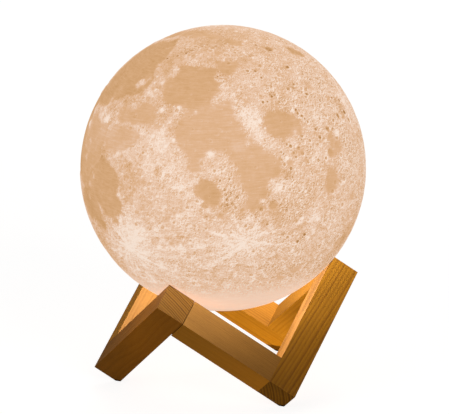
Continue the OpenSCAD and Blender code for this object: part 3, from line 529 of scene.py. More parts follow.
# Named craters: latitude, east longitude, diameter in km, tone of the floor
CRATERS = [
    (-43.3, -11.2, 85, 0.2), (9.6, -20.1, 96, 0.2), (8.1, -38, 40, 0.2), (23.7, -47.4, 45, 0.3),
    (-11.4, 26.4, 110, 0.0), (-13.2, 24.1, 98, 0.0), (-18, 23.7, 104, -0.1), (31.8, 29.9, 100, -0.05),
    (27.7, 55.5, 131, -0.15), (46.7, 44.4, 88, -0.2), (46.7, 39.1, 71, -0.05), (50.2, 17.4, 88, 0.0),
    (44.3, 16.3, 67, 0.05), (-29.7, 32.2, 88, -0.05), (-25.1, 60.4, 184, -0.08), (-8.9, 61.1, 132, 0.1),
    (-16.4, 61.6, 141, -0.1), (-36, 60.6, 135, -0.05), (-45, 41, 190, -0.05), (-27, 80.9, 199, -0.08),
    (-9.3, -1.9, 154, -0.12), (-13.7, -3.2, 108, -0.08), (-18.2, -1.9, 97, -0.05), (-58.8, -14.1, 231, 0.0),
    (-50.5, -6.2, 163, 0.0), (53.9, 57, 123, -0.2), (35.7, 76.7, 177, -0.05), (8.7, 84.6, 144, -0.15),
    (21.3, 46, 64, -0.1), (5.6, 46.5, 56, 0.15), (-21.5, 33.2, 124, -0.15), (-5.5, 4.8, 150, -0.05),
    (-11.2, 4.1, 136, -0.05), (-29.5, -5.5, 50, -0.1), (-20.7, 48.9, 78, -0.1), (-16.4, 54.5, 50, -0.1),
    (36.4, 57, 60, -0.2), (25.8, 50.4, 80, -0.1), (39.2, 59.9, 125, -0.08), (-41.1, 14, 114, 0.0),
    (-45.2, -1.5, 90, 0.05), (-33.1, 0.7, 130, -0.05), (-25.5, -1.9, 110, 0.0), (17.7, 18.9, 40, 0.1),
    (44.8, 29.7, 60, -0.1), (-3.2, 43.0, 45, -0.1), (-15.5, 43.0, 60, -0.15), (-12, 41, 50, -0.15),
    (1.9, 60.5, 70, -0.1), (1.6, 69.5, 60, -0.15), (27.1, 80.8, 90, -0.12), (-20.8, 129, 185, -0.1),
    (-60.3, 30, 110, 0.0),
]


def globe_direction(lat, lon):
    lat, lon = math.radians(lat), math.radians(lon)
    return GLOBE @ np.array([math.cos(lat) * math.cos(lon), math.cos(lat) * math.sin(lon), math.sin(lat)])


def unit(v):
    return v / np.linalg.norm(v, axis=-1, keepdims=True)


def square_to(centre):
    """Two directions square to centre and to each other."""
    aside = unit(np.cross(centre, [0.31, 0.52, 0.8]))
    return aside, np.cross(centre, aside)


def lattice(ix, iy, iz, seed):
    h = (ix * 374761393 + iy * 668265263 + iz * 1103515245 + seed * 1274126177) & 0xFFFFFFFF
    h = ((h ^ (h >> 13)) * 1274126177) & 0xFFFFFFFF
    return ((h ^ (h >> 16)) & 0xFFFFFFFF) / 2147483647.5 - 1.0


def value_noise(p, seed):
    base = np.floor(p).astype(np.int64)
    f = p - base
    f = f * f * f * (f * (f * 6 - 15) + 10)
    total = np.zeros(len(p))
    for dx in (0, 1):
        wx = f[:, 0] if dx else 1 - f[:, 0]
        for dy in (0, 1):
            wy = f[:, 1] if dy else 1 - f[:, 1]
            for dz in (0, 1):
                wz = f[:, 2] if dz else 1 - f[:, 2]
                total += wx * wy * wz * lattice(base[:, 0] + dx, base[:, 1] + dy, base[:, 2] + dz, seed)
    return total


def fractal(p, octaves, seed, gain=0.5):
    total, weight, whole = np.zeros(len(p)), 1.0, 0.0
    for k in range(octaves):
        total += weight * value_noise(p * 2.0 ** k + 17.3 * k, seed + k)
        whole += weight
        weight *= gain
    return total / whole


def warped(n, scale, octaves, seed):
    """The directions, each moved a little aside so that edges drawn by them are ragged."""
    return unit(n + 0.02 * np.stack([fractal(n * scale, octaves, seed + 5 * k) for k in range(3)], 1))


def smooth(low, high, x):
    t = np.clip((x - low) / (high - low), 0, 1)
    return t * t * (3 - 2 * t)


def arc(n, centre):
    """Distance over the ball in mm from each direction of n to centre."""
    return RADIUS * np.arccos(np.clip(n @ centre, -1, 1))


def shore_depth(v, shore):
    """Distance in mm from each direction of v to a shore, positive inside it, and FAR_OFF far outside it."""
    around = np.array([globe_direction(lat, lon) for lat, lon in shore])
    centre = unit(around.sum(0))
    east = unit(np.cross([0.1, 0.2, 1.0], centre))
    north = np.cross(centre, east)

    def flat(d):
        away = arc(d, centre)
        x, y = d @ east, d @ north
        size = np.maximum(np.hypot(x, y), 1e-9)
        return np.stack([x * away / size, y * away / size], 1)

    corners = flat(around)
    depth = np.full(len(v), FAR_OFF)
    near = np.nonzero(v @ centre > math.cos(np.linalg.norm(corners, axis=1).max() / RADIUS + 0.12))[0]
    p = flat(v[near])
    least, inside = np.full(len(near), 1e9), np.zeros(len(near), bool)
    for a, b in zip(corners, np.roll(corners, -1, 0)):
        d = b - a
        t = np.clip(((p - a) @ d) / (d @ d), 0, 1)
        least = np.minimum(least, np.linalg.norm(p - a - t[:, None] * d, axis=1))
        level = (a[1] > p[:, 1]) != (b[1] > p[:, 1])
        inside ^= level & (p[:, 0] < d[0] * (p[:, 1] - a[1]) / (d[1] + 1e-12) + a[0])
    depth[near] = np.where(inside, least, -least)
    return depth


def sea_map(n):
    """Signed distance into the nearest dark plain in mm, and that plain's tone."""
    v = warped(n, 10.0, 4, 11)
    soft = 0.6
    total, tones = np.full(len(n), 1e-12), np.full(len(n), 0.4e-12)
    depths = [(shore_depth(v, shore), tone) for tone, shore in SHORES]
    depths += [(wide * MM_PER_KM / 2 - arc(v, globe_direction(lat, lon)), tone) for lat, lon, wide, tone in SEAS]
    for depth, tone in depths:
        share = np.exp(np.clip(np.minimum(depth, 3.0) / soft, -30, 30))
        total += share
        tones += share * tone
    edge = soft * np.log(total)
    for lat, lon, wide in ISLANDS:
        edge = np.minimum(edge, arc(v, globe_direction(lat, lon)) - wide * MM_PER_KM / 2)
    return edge + 0.9 * fractal(n * 34.0, 3, 71), tones / total


def land_map(n):
    """Tone of the ground outside the dark plains."""
    tone = LAND + 0.05 * fractal(n * 5.0, 3, 201)
    v = warped(n, 12.0, 3, 31)
    for sign, patches in ((1, PALE), (-1, DUSKY)):
        for lat, lon, wide, amount in patches:
            tone += sign * amount * np.exp(-(arc(v, globe_direction(lat, lon)) / (wide * MM_PER_KM)) ** 2)
    for k, (lat, lon, reach, amount, count) in enumerate(RAYED):
        centre = globe_direction(lat, lon)
        aside, ahead = square_to(centre)
        far = arc(v, centre)
        around = np.arctan2(v @ aside, v @ ahead)
        ring = np.stack([np.cos(around) * count / 3, np.sin(around) * count / 3, far * 0.012 + 7.7 * k], 1)
        beam = smooth(0.1, 0.75, value_noise(ring, 301 + k))
        ring[:, :2] *= 3.1
        beam += 0.7 * smooth(0.15, 0.6, value_noise(ring, 361 + k))
        beam *= 0.6 + 0.8 * fractal(n * 22.0, 2, 330 + k)
        tone += amount * beam * np.exp(-far / (0.5 * reach * MM_PER_KM)) * (far < 1.6 * reach * MM_PER_KM)
    broken = 1.15 + 1.3 * fractal(n * 24.0, 2, 391)
    for lat, lon, end_lat, end_lon, wide, amount in LONG_RAYS:
        start, end = globe_direction(lat, lon), globe_direction(end_lat, end_lon)
        aside = unit(np.cross(start, end))
        share = np.arctan2(v @ np.cross(aside, start), v @ start) / math.acos(start @ end)
        off = OUTSIDE * np.arcsin(np.clip(v @ aside, -1, 1)) / (wide * MM_PER_KM)
        tone += amount * broken * np.exp(-off ** 2) * smooth(-0.05, 0.1, share) * (1 - smooth(0.75, 1.15, share))
    return tone


def bowl(t):
    """Height of a crater of unit depth at t radii from its centre: a floor, a wall and a rim that falls away."""
    inside = -1.0 + 1.35 * smooth(0.45, 1.0, t)
    outside = 0.35 * np.exp(-(t - 1.0) / 0.22)
    return np.where(t < 1, inside, outside)


def random_craters(rng, count, smallest, largest, power=2.0):
    """Directions and radii in mm of craters of which there are fewer the larger they are."""
    n = unit(rng.normal(size=(count, 3)))
    u = rng.random(count)
    a, b = smallest ** -power, largest ** -power
    return n, (a + (b - a) * u) ** (-1.0 / power)


def ring_ball():
    """Points in rows, down the outside and up the inside, the triangles between, and the outside's count."""
    rows = []
    for radius, spacing, inside in ((OUTSIDE, SPACING, False), (SHELL_INSIDE, INNER_SPACING, True)):
        end = math.pi - math.asin(NECK / radius)
        steps = round(radius * end / spacing)
        for k in range(steps, -1, -1) if inside else range(steps + 1):
            polar = end * k / steps
            rows.append((radius, polar, max(1, round(2 * math.pi * radius * math.sin(polar) / spacing))))
    points, starts = [], []
    for radius, polar, around in rows:
        starts.append(len(points))
        for j in range(around):
            a = 2 * math.pi * j / around
            flat = radius * math.sin(polar)
            points.append((flat * math.cos(a), flat * math.sin(a), radius * math.cos(polar)))
    faces = []
    for k in range(len(rows) - 1):
        na, nb = rows[k][2], rows[k + 1][2]
        a0, b0 = starts[k], starts[k + 1]
        i = j = 0
        while (na > 1 and i < na) or (nb > 1 and j < nb):
            if na > 1 and (j >= nb or (i < na and (i + 1) * nb <= (j + 1) * na)):
                faces.append((a0 + i % na, b0 + j % nb, a0 + (i + 1) % na))
                i += 1
            else:
                faces.append((a0 + i % na, b0 + j % nb, b0 + (j + 1) % nb))
                j += 1
    outer = sum(r[2] for r in rows if r[0] == OUTSIDE)
    return np.array(points), np.array(faces), outer


def in_plains(directions):
    return smooth(-0.5, 0.8, sea_map(directions)[0])


def print_craters(n, height, rng):
    """Cuts the larger craters into the height, and gives how much each point is of a rim, and the tone in its pit."""
    rim, pit = np.zeros(len(n)), np.zeros(len(n))
    wobble = 1 + 0.1 * fractal(n * 30.0, 2, 441)
    centres, radii = random_craters(rng, 620, 1.5, 4.6, 2.1)
    tones = rng.uniform(-0.16, 0.1, len(radii))
    keep = rng.random(len(radii)) > 0.85 * in_plains(centres)
    craters = [(c, r, tone, rng.uniform(0.3, 1)) for c, r, tone in zip(centres[keep], radii[keep], tones[keep])]
    craters += [(globe_direction(lat, lon), wide * MM_PER_KM / 2, tone, 1.0) for lat, lon, wide, tone in CRATERS]
    craters.sort(key=lambda c: -c[1])
    for centre, r, tone, fresh in craters:
        near = np.nonzero(n @ centre > math.cos(min(3.0, 2.2 * r / RADIUS)))[0]
        t = arc(n[near], centre) / r * wobble[near]
        depth = 0.15 * r ** 0.6 * (0.5 + 0.5 * fresh)
        height[near] = height[near] * (1 - 0.6 * (t < 1)) + depth * bowl(t)
        rim[near] = np.maximum(rim[near] * (t > 0.8), fresh * smooth(0.72, 0.98, t) * (1 - smooth(1.0, 1.45, t)))
        pit[near] = np.where(t < 1, tone * (1 - smooth(0.6, 0.95, t)), pit[near])
    return rim, pit


def add_pocks(mesh, points, faces, on_outside, rng):
    """Small craters, drawn by the material: each face knows the centre, the size and the tone of the one it lies on."""
    middle = points[faces].mean(1)
    tree = KDTree(int(on_outside.sum()))
    for k in np.nonzero(on_outside)[0]:
        tree.insert(middle[k], int(k))
    tree.balance()
    n, radii = random_craters(rng, 9000, 0.42, 1.7)
    keep = rng.random(len(radii)) > 0.8 * in_plains(n)
    n, radii = n[keep], radii[keep]
    shades = rng.uniform(-1, 1, len(radii))
    order = list(np.argsort(-radii)) + list(range(len(radii), len(radii) + len(SPECKS)))
    n = np.concatenate([n, [globe_direction(lat, lon) for lat, lon, _, _ in SPECKS]])
    radii = np.concatenate([radii, [SPECK_GAIN * r for _, _, r, _ in SPECKS]])
    shades = np.concatenate([shades, [SPECK_GAIN * shade for _, _, _, shade in SPECKS]])
    centres = np.zeros((len(faces), 3), np.float32)
    sizes, tones = np.zeros(len(faces), np.float32), np.zeros(len(faces), np.float32)
    best = np.full(len(faces), 9.0)
    for k in order:
        centre, r = n[k] * (OUTSIDE - 0.15), radii[k]
        for _, face, away in tree.find_range(centre, 2.0 * r + 0.7):
            t = away / r
            if t < 1.3 or t < best[face]:
                best[face] = t
                centres[face] = (centre + BALL) / 1000
                sizes[face] = r / 1000
                tones[face] = shades[k]
    mesh.attributes.new("pock_centre", "FLOAT_VECTOR", "FACE").data.foreach_set("vector", centres.ravel())
    for name, values in (("pock_size", sizes), ("pock_tone", tones)):
        mesh.attributes.new(name, "FLOAT", "FACE").data.foreach_set("value", values)


def make_moon():
    rng = np.random.default_rng(23)
    points, faces, outer = ring_ball()
    n = unit(points[:outer])
    edge, sea_tone = sea_map(n)
    # The picture fades out towards the neck, where the print is smooth
    fade = smooth(-0.8, -0.6, n[:, 2])
    plain = smooth(-0.5, 0.5, edge)
    height = 0.09 * fractal(n * 26.0, 4, 401, 0.6) * (1 - 0.75 * plain) + 0.05 * fractal(n * 9.0, 3, 421)
    height -= 0.3 * smooth(-0.9, 0.7, edge)
    rim, pit = print_craters(n, height, rng)
    height = np.minimum(HILL_TOP - OUTSIDE + height * fade, 0.0)
    points[:outer] = n * (OUTSIDE + height)[:, None]

    mesh = bpy.data.meshes.new("moon")
    mesh.from_pydata(((points + BALL) / 1000).tolist(), [], faces.tolist())
    mesh.update()
    for name, values, inside in (
            ("sea_edge", edge, -9.0), ("sea_tone", sea_tone, 0.4), ("land_tone", land_map(n), LAND),
            ("rim", rim, 0.0), ("pit", pit, 0.0), ("fade", fade, 0.0)):
        whole = np.full(len(points), inside, np.float32)
        whole[:outer] = values
        mesh.attributes.new(name, "FLOAT", "POINT").data.foreach_set("value", whole)
    add_pocks(mesh, points, faces, (faces < outer).all(1), rng)
    mesh.polygons.foreach_set("use_smooth", np.ones(len(faces), bool))
    moon = bpy.data.objects.new("moon", mesh)
    scene.collection.objects.link(moon)
    return moon


def ray_threads(t, place):
    """Fine threads of the rayed craters, by noise that is stretched away from each."""
    threads = 0.0
    for lat, lon, reach, amount, count in FINE_RAYS:
        start = globe_direction(lat, lon)
        aside, ahead = square_to(start)
        far = t.vector("DISTANCE", place, tuple(start * OUTSIDE))
        turns = count / 3 / t.math("MAXIMUM", far, 0.5)
        where = t.combine((place @ aside) * turns, (place @ ahead) * turns, far * 0.05 + lat)
        beam = t.step(t.noise(where, 1.0, 3.0, 0.6), 0.44, 0.68)
        threads = beam * t.step(far, reach * 0.12, reach, amount, 0.0) + threads
    return threads


def moon_finish():
    t = Finish("moon_print")
    place = (t.places - tuple(BALL / 1000)) * 1000.0
    x, y, z = t.split(place)
    fade = t.attribute("fade")

    def grain(scale, detail=3.0, roughness=0.6, distortion=0.0, shift=(0, 0, 0)):
        return t.noise(place + shift, scale, detail, roughness, distortion) - 0.5

    # Edges of the plains, torn finer than the mesh
    torn = grain(0.4, 5.0, 0.72) * 6.5 + grain(1.6, 2.0, 0.6, 0.0, (5, 0, 0)) * 2.2
    plain = t.step(t.attribute("sea_edge") + torn, -1.5, 1.3)
    # Mottling of the ground, sweeps along the parallels, painted shade of relief with light from one side, and bright
    # and dark flecks
    mottle = grain(0.3, 5.0, 0.66, 0.4)
    globe_x, globe_y, globe_z = [place @ axis for axis in GLOBE.T]
    sweeps = t.noise(t.combine(globe_x * 0.22, globe_y * 0.22, globe_z), 0.9, 3.0, 0.65, 0.5) - 0.5
    sweeps = sweeps * t.between(globe_z, -20.0, -48.0, 0.55, 1.1)
    harsh = t.between(x, -45.0, 45.0, 0.55, 1.2)
    south = t.between(globe_z, -48.0, -64.0)
    fine = grain(1.5, 3.0, 0.7)
    dust = grain(3.2, 2.0, 0.6, 0.0, (9, 4, 2))
    painted_relief_shade = grain(0.9, 4.0, 0.75, 0.5) - grain(0.9, 4.0, 0.75, 0.5, (0.26, 0.0, -0.28))
    bright = t.step(grain(1.25, 2.0, 0.6, 0.6, (31, 7, 3)), 0.1, 0.2)
    rough = t.between(grain(0.07, 2.0, 0.5, 0.0, (3, 40, 8)), -0.06, 0.12, 0.35, 1.0)
    spots = t.step(grain(1.0, 2.0, 0.55, 0.6, (2, 60, 9)), 0.12, 0.2) * (rough * harsh)
    # Painted shade: the tone follows how far the relief's own normal turns towards the side the painted light comes
    # from
    slope = (t.normal - t.vector("NORMALIZE", place)) @ PAINTED_LIGHT_SIDE
    slope = t.math("MINIMUM", t.math("MAXIMUM", slope, -0.3), 0.3)
    streaks = t.noise(t.combine(x * 0.1, y * 0.1, z), 1.6, 2.0, 0.6) - 0.5

    land = mottle * (south * -0.4 + 0.8) + t.attribute("land_tone")
    land = fine * (south * 0.4 + 0.65) + land + ray_threads(t, place) + dust * 0.25 + sweeps * 0.7
    land = painted_relief_shade * (harsh * (rough * 0.9 + 0.3)) * 2.3 + land + bright * 0.14 - spots * 0.42 + slope * 0.55
    sea = mottle * 0.3 + t.attribute("sea_tone") + fine * 0.14 + streaks * 0.3 + slope * 0.25
    sea = sea + (t.attribute("land_tone") - LAND) * 0.6
    tone = land * (1.0 - plain) + sea * plain

    # Craters: those of the mesh, then the small ones, drawn finer than the mesh
    tone = tone + t.attribute("rim") * 0.1 + t.attribute("pit")
    size = t.math("MAXIMUM", t.attribute("pock_size"), 0.00005)
    from_centre = t.places - t.attribute_triple("pock_centre")
    wavy = t.noise(place, 1.3, 2.0, 0.5) * 0.35 + 0.82
    ratio = t.vector("LENGTH", from_centre) / size * wavy
    there = t.between(size, 0.0001, 0.0002) * (plain * -0.5 + 1.0)
    pock_floor = t.step(ratio, 0.45, 0.85, 1.0, 0.0) * there
    pock_rim = t.step(ratio, 0.55, 0.95) * t.step(ratio, 1.0, 1.5, 1.0, 0.0) * there
    # Painted shade on the small craters' walls: darker on the side towards the painted light, paler on the other
    wall = (from_centre @ PAINTED_LIGHT_SIDE) / size * t.step(ratio, 0.9, 1.15, 1.0, 0.0)
    tone = pock_rim * harsh * 0.15 + tone + pock_floor * t.attribute("pock_tone") * 0.22 - wall * (there * harsh) * 0.28

    # Faint lines along the print's layers, which are all that is left where the picture fades out
    tone = streaks * 0.08 + tone
    even = streaks * 0.2 + 0.83
    tone = tone * fade + even * (1.0 - fade)
    colour = t.ramp(tone, [
        (0.0, linear(178, 128, 76)), (0.15, linear(206, 158, 108)), (0.35, linear(219, 173, 128)),
        (0.5, linear(226, 182, 143)), (0.65, linear(233, 195, 165)), (0.8, linear(241, 209, 185)),
        (0.92, linear(247, 220, 199)), (1.0, linear(252, 231, 214)),
    ])
    t.set("Base Color", colour * MOON_BASE)
    t.set("Emission Color", colour)
    t.set("Emission Strength", MOON_GLOW)
    t.set("Roughness", t.between(fine, -0.3, 0.3, 0.55, 0.75))
    t.set("Specular IOR Level", 0.25)
    bump = t.bump((pock_rim * 0.4 - pock_floor) * fade, 0.00022, 0.9)
    bump = t.bump(mottle + fine, 0.00025, 0.6, bump)
    bump = t.bump(t.math("SINE", z * (2 * math.pi / LAYER)), 0.000012, 0.8, bump)
    t.set("Normal", bump)
    t.material.cycles.emission_sampling = "NONE"
    return t


moon = make_moon()
moon.data.materials.append(moon_finish().material)
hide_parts("moon_shell")
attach(moon, "moon")


# ---------------------------------------------------------------- wood of the stand
# Directions of the cube's three edges in the row frame
FLAT, STEEP = math.sqrt(2 / 3), 1 / math.sqrt(3)
E1, E2, E3 = [
    np.array([math.cos(math.radians(a)) * FLAT, math.sin(math.radians(a)) * FLAT, STEEP]) for a in (180, -60, 60)]
# Distance in mm from the middle of a bar to the heart of its tree
HEART = 75.0
BROKEN_EDGE = 0.00045


def middle_of(node):
    corners = np.array([v.co for v in NODES[node].data.vertices]) * 1000
    return tuple((corners.min(0) + corners.max(0)) / 2)


def wood_finish(node, along, across, base, late, lines, spacing, contrast, bend=1.0, tilt=0.0, fibre=0.45,
                face=None, painted_light_tint=(1, 1, 1), calm=None, painted_shade_run=None, painted_side_shade_run=None, ends_dark=0.12, seed=1.0):
    """Planed and stained wood whose grain runs along one direction.

    across holds the bar's two other directions, and lines is how the growth rings' normal lies in them. face is the
    side painted with its own copy of the stain in another colour, which stands in for how the light falls on that
    face, and calm the side on which the rings hardly show. The runs are painted light and shade along the bar,
    brighter towards one end and darker towards the other as the light falls: the first on that face, the second on
    the others: from, to, and the two factors."""
    t = Finish("wood_" + node)
    place = t.mm - middle_of(node)
    w, u, v = [place @ direction for direction in (along, *across)]
    shift = (seed * 13.7, seed * 7.3, seed * 3.1)

    def grain(scale, stretch, detail, roughness, squeeze=1.0):
        return t.noise(t.combine(u * squeeze, v * squeeze, w * stretch) + shift, scale, detail, roughness) - 0.5

    # Growth rings round a far centre that wanders a little along the bar
    du = w * tilt + u + HEART * lines[0]
    dv = w * (-0.6 * tilt) + v + HEART * lines[1]
    radius = t.math("SQRT", du * du + dv * dv)
    radius = grain(0.016, 1.0, 1.0, 0.5, 0.3) * (5.0 * bend) + radius
    radius = grain(0.2, 0.06, 2.0, 0.5) * (0.9 * bend) + radius
    ring = radius / spacing
    ring = (t.noise(t.combine(ring, seed * 5.1, 0.0), 0.45, 1.0, 0.5) - 0.5) * 1.4 + ring
    part = t.math("FRACT", ring)
    dark = t.step(part, 0.3, 0.86) * t.step(part, 0.9, 1.0, 1.0, 0.0)
    each = t.noise(t.combine(t.math("FLOOR", ring), seed * 2.3, 0.5), 3.1, 0.0)
    dark = dark * t.between(each, 0.3, 0.7, 0.4, 1.0)
    # Fibres and pores, long along the grain and short across it
    strand, fine = grain(2.1, 0.05, 3.0, 0.65), grain(5.5, 0.09, 2.0, 0.6)
    patch = grain(0.12, 0.25, 3.0, 0.5, 0.6)
    pore = t.step(grain(8.0, 0.16, 1.0, 0.5), 0.14, 0.22)
    ends = t.step(t.math("ABSOLUTE", t.normal @ along), 0.75, 0.95)
    if calm is not None:
        dark = dark * t.step(t.math("ABSOLUTE", t.normal @ calm), 0.7, 0.9, 1.0, 0.3)
    colour = t.mix(dark * (ends * 0.5 + contrast), base, late)
    tone = strand * fibre + 1.0
    # Painted light and shade: the face side gets its own copy of the stain in another colour as the light falls on it,
    # and each side grows brighter towards one end of the bar and darker towards the other
    if face is not None:
        side = t.step(t.normal @ face, 0.7, 0.9)
        colour = t.mix(side, colour, t.vector("MULTIPLY", colour, painted_light_tint))
        for share, painted_shade_change in ((side, painted_shade_run), (1.0 - side, painted_side_shade_run)):
            if painted_shade_change is not None:
                tone = tone * (share * (t.between(w, *painted_shade_change) - 1.0) + 1.0)
    tone = patch * 0.35 + (fine * (fibre * 0.9) + tone)
    tone = tone * (pore * -0.25 + 1.0)
    # End grain drinks more stain
    t.set_colour(colour, tone * (ends * -ends_dark + 1.0))
    t.set("Roughness", t.between(dark * -0.3 + strand, -0.3, 0.3, 0.68, 0.52))
    t.set("Specular IOR Level", 0.15)
    t.set("Normal", t.bump(fine - pore + dark * 0.5 + strand * 0.6, 0.00005, 0.7))
    return t


def soften(node):
    """Broken edges."""
    ob = NODES[node]
    weld = ob.modifiers.new("weld", "WELD")
    weld.merge_threshold = 0.000002
    bevel = ob.modifiers.new("bevel", "BEVEL")
    bevel.width = BROKEN_EDGE
    bevel.segments = 3
    bevel.limit_method = "ANGLE"
    bevel.angle_limit = math.radians(40)
    bevel.harden_normals = True
    bevel.use_clamp_overlap = True


# Stains, each with its colour in the late wood of a ring
TAN, TAN_LATE = (0.315, 0.138, 0.014), (0.165, 0.06, 0.005)
BROWN, BROWN_LATE = (0.305, 0.115, 0.004), (0.135, 0.045, 0.001)
GOLD, GOLD_LATE = (0.325, 0.142, 0.006), (0.16, 0.056, 0.002)
AMBER, AMBER_LATE = (0.32, 0.136, 0.003), (0.21, 0.082, 0.002)
# Besides its stain, each bar lists painted light and shade: a colour for the face that stands in for how it is lighted,
# and runs of painted shade along the bar
BARS = [
    ("long_bar_left", E2, (E1, E3), BROWN, BROWN_LATE, dict(
        lines=(-0.294, 0.956), spacing=1.3, contrast=0.9, bend=0.9, tilt=0.01, face=E2, painted_light_tint=(0.95, 1.09, 2.4), calm=E3,
        painted_side_shade_run=(-50, 15, 0.5, 0.97))),
    ("short_bar_front", E1, (E2, E3), TAN, TAN_LATE, dict(
        lines=(0.18, -0.98), spacing=0.8, contrast=0.5, bend=0.3, tilt=0.012, face=E2, painted_light_tint=(1.14, 1.24, 2.3), calm=E3,
        painted_shade_run=(-50, 40, 0.68, 0.99), painted_side_shade_run=(-45, 40, 1.45, 1.05))),
    ("long_bar_right", E3, (E1, E2), GOLD, GOLD_LATE, dict(
        lines=(-0.844, 0.536), spacing=1.75, contrast=0.85, bend=0.35, tilt=0.055, fibre=0.35, face=E1,
        painted_light_tint=(0.93, 1.04, 6.0), painted_shade_run=(-45, 45, 1.06, 0.87), painted_side_shade_run=(-62, -22, 0.7, 1.0), ends_dark=0.25)),
    ("short_bar_right", E2, (E3, E1), AMBER, AMBER_LATE, dict(
        lines=(0.8, 0.6), spacing=1.5, contrast=0.6, bend=0.6, tilt=0.02, fibre=0.35, face=E1, painted_light_tint=(0.68, 0.7, 2.6))),
    ("long_bar_back", E1, (E2, E3), AMBER, AMBER_LATE, dict(
        lines=(0.35, 0.94), spacing=1.2, contrast=0.65, bend=0.5, tilt=0.02, fibre=0.35, face=E2,
        painted_light_tint=(1.37, 1.48, 9.5))),
    ("short_bar_left", E3, (E1, E2), AMBER, AMBER_LATE, dict(
        lines=(0.9, 0.44), spacing=1.7, contrast=0.45, bend=0.6, tilt=0.02, fibre=0.35, face=E2,
        painted_light_tint=(0.98, 1.14, 12.5))),
]
for k, (node, along, across, base, late, how) in enumerate(BARS):
    dress(node, wood_finish(node, along, across, base, late, seed=k + 1.0, **how))
    soften(node)
for k, node in enumerate(("peak_dowels", "foot_dowels")):
    dress(node, wood_finish(node, (0, 0, 1), ((1, 0, 0), (0, 1, 0)), (0.56, 0.4, 0.22), (0.4, 0.26, 0.12),
                            lines=(0.6, 0.8), spacing=1.1, contrast=0.5, seed=11.0 + k))


# ---------------------------------------------------------------- plastic, metal and electrics
def moulded(name, colour, roughness, metallic=0.0, speckle=0.05, grain_mm=0.6, bump_mm=0.02):
    """Moulded or pressed surface: a little uneven in colour and shine, with a fine texture and rubbed spots."""
    t = Finish(name)
    grain = t.noise(t.mm, 1.0 / grain_mm, 3.0, 0.6)
    rub = t.step(t.noise(t.mm, 0.6, 4.0, 0.7), 0.6, 0.75)
    uneven = grain - 0.5 + (t.noise(t.mm, 0.09, 2.0, 0.5) - 0.5)
    t.set_colour(colour, uneven * (speckle * 2) + 1.0 - rub * speckle)
    t.set("Metallic", metallic)
    t.set("Roughness", rub * 0.12 + t.between(grain, 0.3, 0.7, roughness - 0.06, roughness + 0.06))
    t.set("Normal", t.bump(grain, bump_mm / 1000, 0.6))
    return t


def brushed(name, colour, roughness, stretch):
    """Metal with fine lines along the direction in which stretch is small."""
    t = moulded(name, colour, roughness, metallic=1.0, speckle=0.06, grain_mm=0.3, bump_mm=0.004)
    lines = t.noise(t.vector("MULTIPLY", t.mm, stretch), 6.0, 2.0, 0.5)
    t.set("Roughness", t.between(lines, 0.3, 0.7, roughness - 0.1, roughness + 0.1))
    t.set("Normal", t.bump(lines, 0.000008, 0.5))
    return t


def board(name, mask, track, pad):
    """Printed board: tracks in a square network under the mask, with plated holes."""
    t = Finish(name)
    lines = t.math("FRACT", t.cells(t.mm, 0.42, randomness=0.55, metric="CHEBYCHEV") * 3.2)
    tracks = t.step(lines, 0.32, 0.38) * t.step(lines, 0.62, 0.68, 1.0, 0.0)
    ring = t.step(t.cells(t.mm, 0.36, randomness=0.9), 0.13, 0.16, 1.0, 0.0)
    weave = t.noise(t.mm, 3.0, 2.0, 0.6)
    t.set_colour(t.mix(ring, t.mix(tracks, mask, track), pad), weave * 0.2 + 0.9)
    t.set("Roughness", t.between(tracks + weave, 0.2, 1.4, 0.5, 0.3))
    t.set("Normal", t.bump(t.math("MAXIMUM", tracks, ring), 0.00003, 0.6))
    return t


def phosphor(name, glow):
    t = Finish(name)
    grains = t.cells(t.mm, 4.0)
    colour = t.vector("SCALE", (0.9, 0.62, 0.12), scale=t.between(grains, 0.0, 0.9, 1.08, 0.82))
    t.set("Base Color", colour)
    t.set("Emission Color", colour)
    t.set("Emission Strength", glow)
    t.set("Roughness", t.between(grains, 0.0, 0.9, 0.3, 0.5))
    t.set("Normal", t.bump(grains, 0.00002, 0.5))
    t.material.cycles.emission_sampling = "NONE"
    return t


def clear_plastic():
    t = moulded("pipe_clear", (0.9, 0.93, 0.95), 0.14, speckle=0.02, grain_mm=0.4, bump_mm=0.005)
    t.set("Transmission Weight", 0.85)
    t.set("IOR", 1.49)
    return t


def pouch_foil():
    """Wrap of the cell, pressed and a little creased."""
    t = moulded("pouch_foil", (0.42, 0.45, 0.5), 0.34, metallic=1.0, grain_mm=0.5, bump_mm=0.01)
    edges = t.cells(t.vector("MULTIPLY", t.mm, (1, 1, 0.45)), 0.5, "DISTANCE_TO_EDGE")
    crease = t.step(edges, 0.0, 0.12, 1.0, 0.0)
    t.set("Normal", t.bump(crease * -0.4 + t.noise(t.mm, 0.35, 3.0, 0.6), 0.0002, 0.7))
    return t


def foam():
    t = Finish("foam_cells")
    cells = t.cells(t.mm, 2.4)
    # Painted shade: each cell darker in its middle, where the bump makes a pit
    t.set_colour((0.035, 0.035, 0.038), t.step(cells, 0.1, 0.7, 0.45, 1.25))
    t.set("Roughness", t.between(cells, 0.0, 0.7, 0.98, 0.85))
    t.set("Specular IOR Level", 0.2)
    t.set("Normal", t.bump(cells, 0.0003, 0.9))
    return t


def leads(name):
    """Two leads side by side: red on the one side of the lamp's axis, black on the other."""
    t = Finish(name)
    _, y, _ = t.split(t.mm)
    wear = t.noise(t.mm, 1.4, 3.0, 0.6)
    t.set_colour(t.mix(t.between(y, -0.05, 0.05), (0.02, 0.02, 0.022), (0.5, 0.02, 0.015)),
                 t.between(wear, 0.2, 0.8, 0.85, 1.15))
    t.set("Roughness", t.between(wear, 0.2, 0.8, 0.35, 0.5))
    t.set("Normal", t.bump(wear, 0.00003, 0.5))
    return t


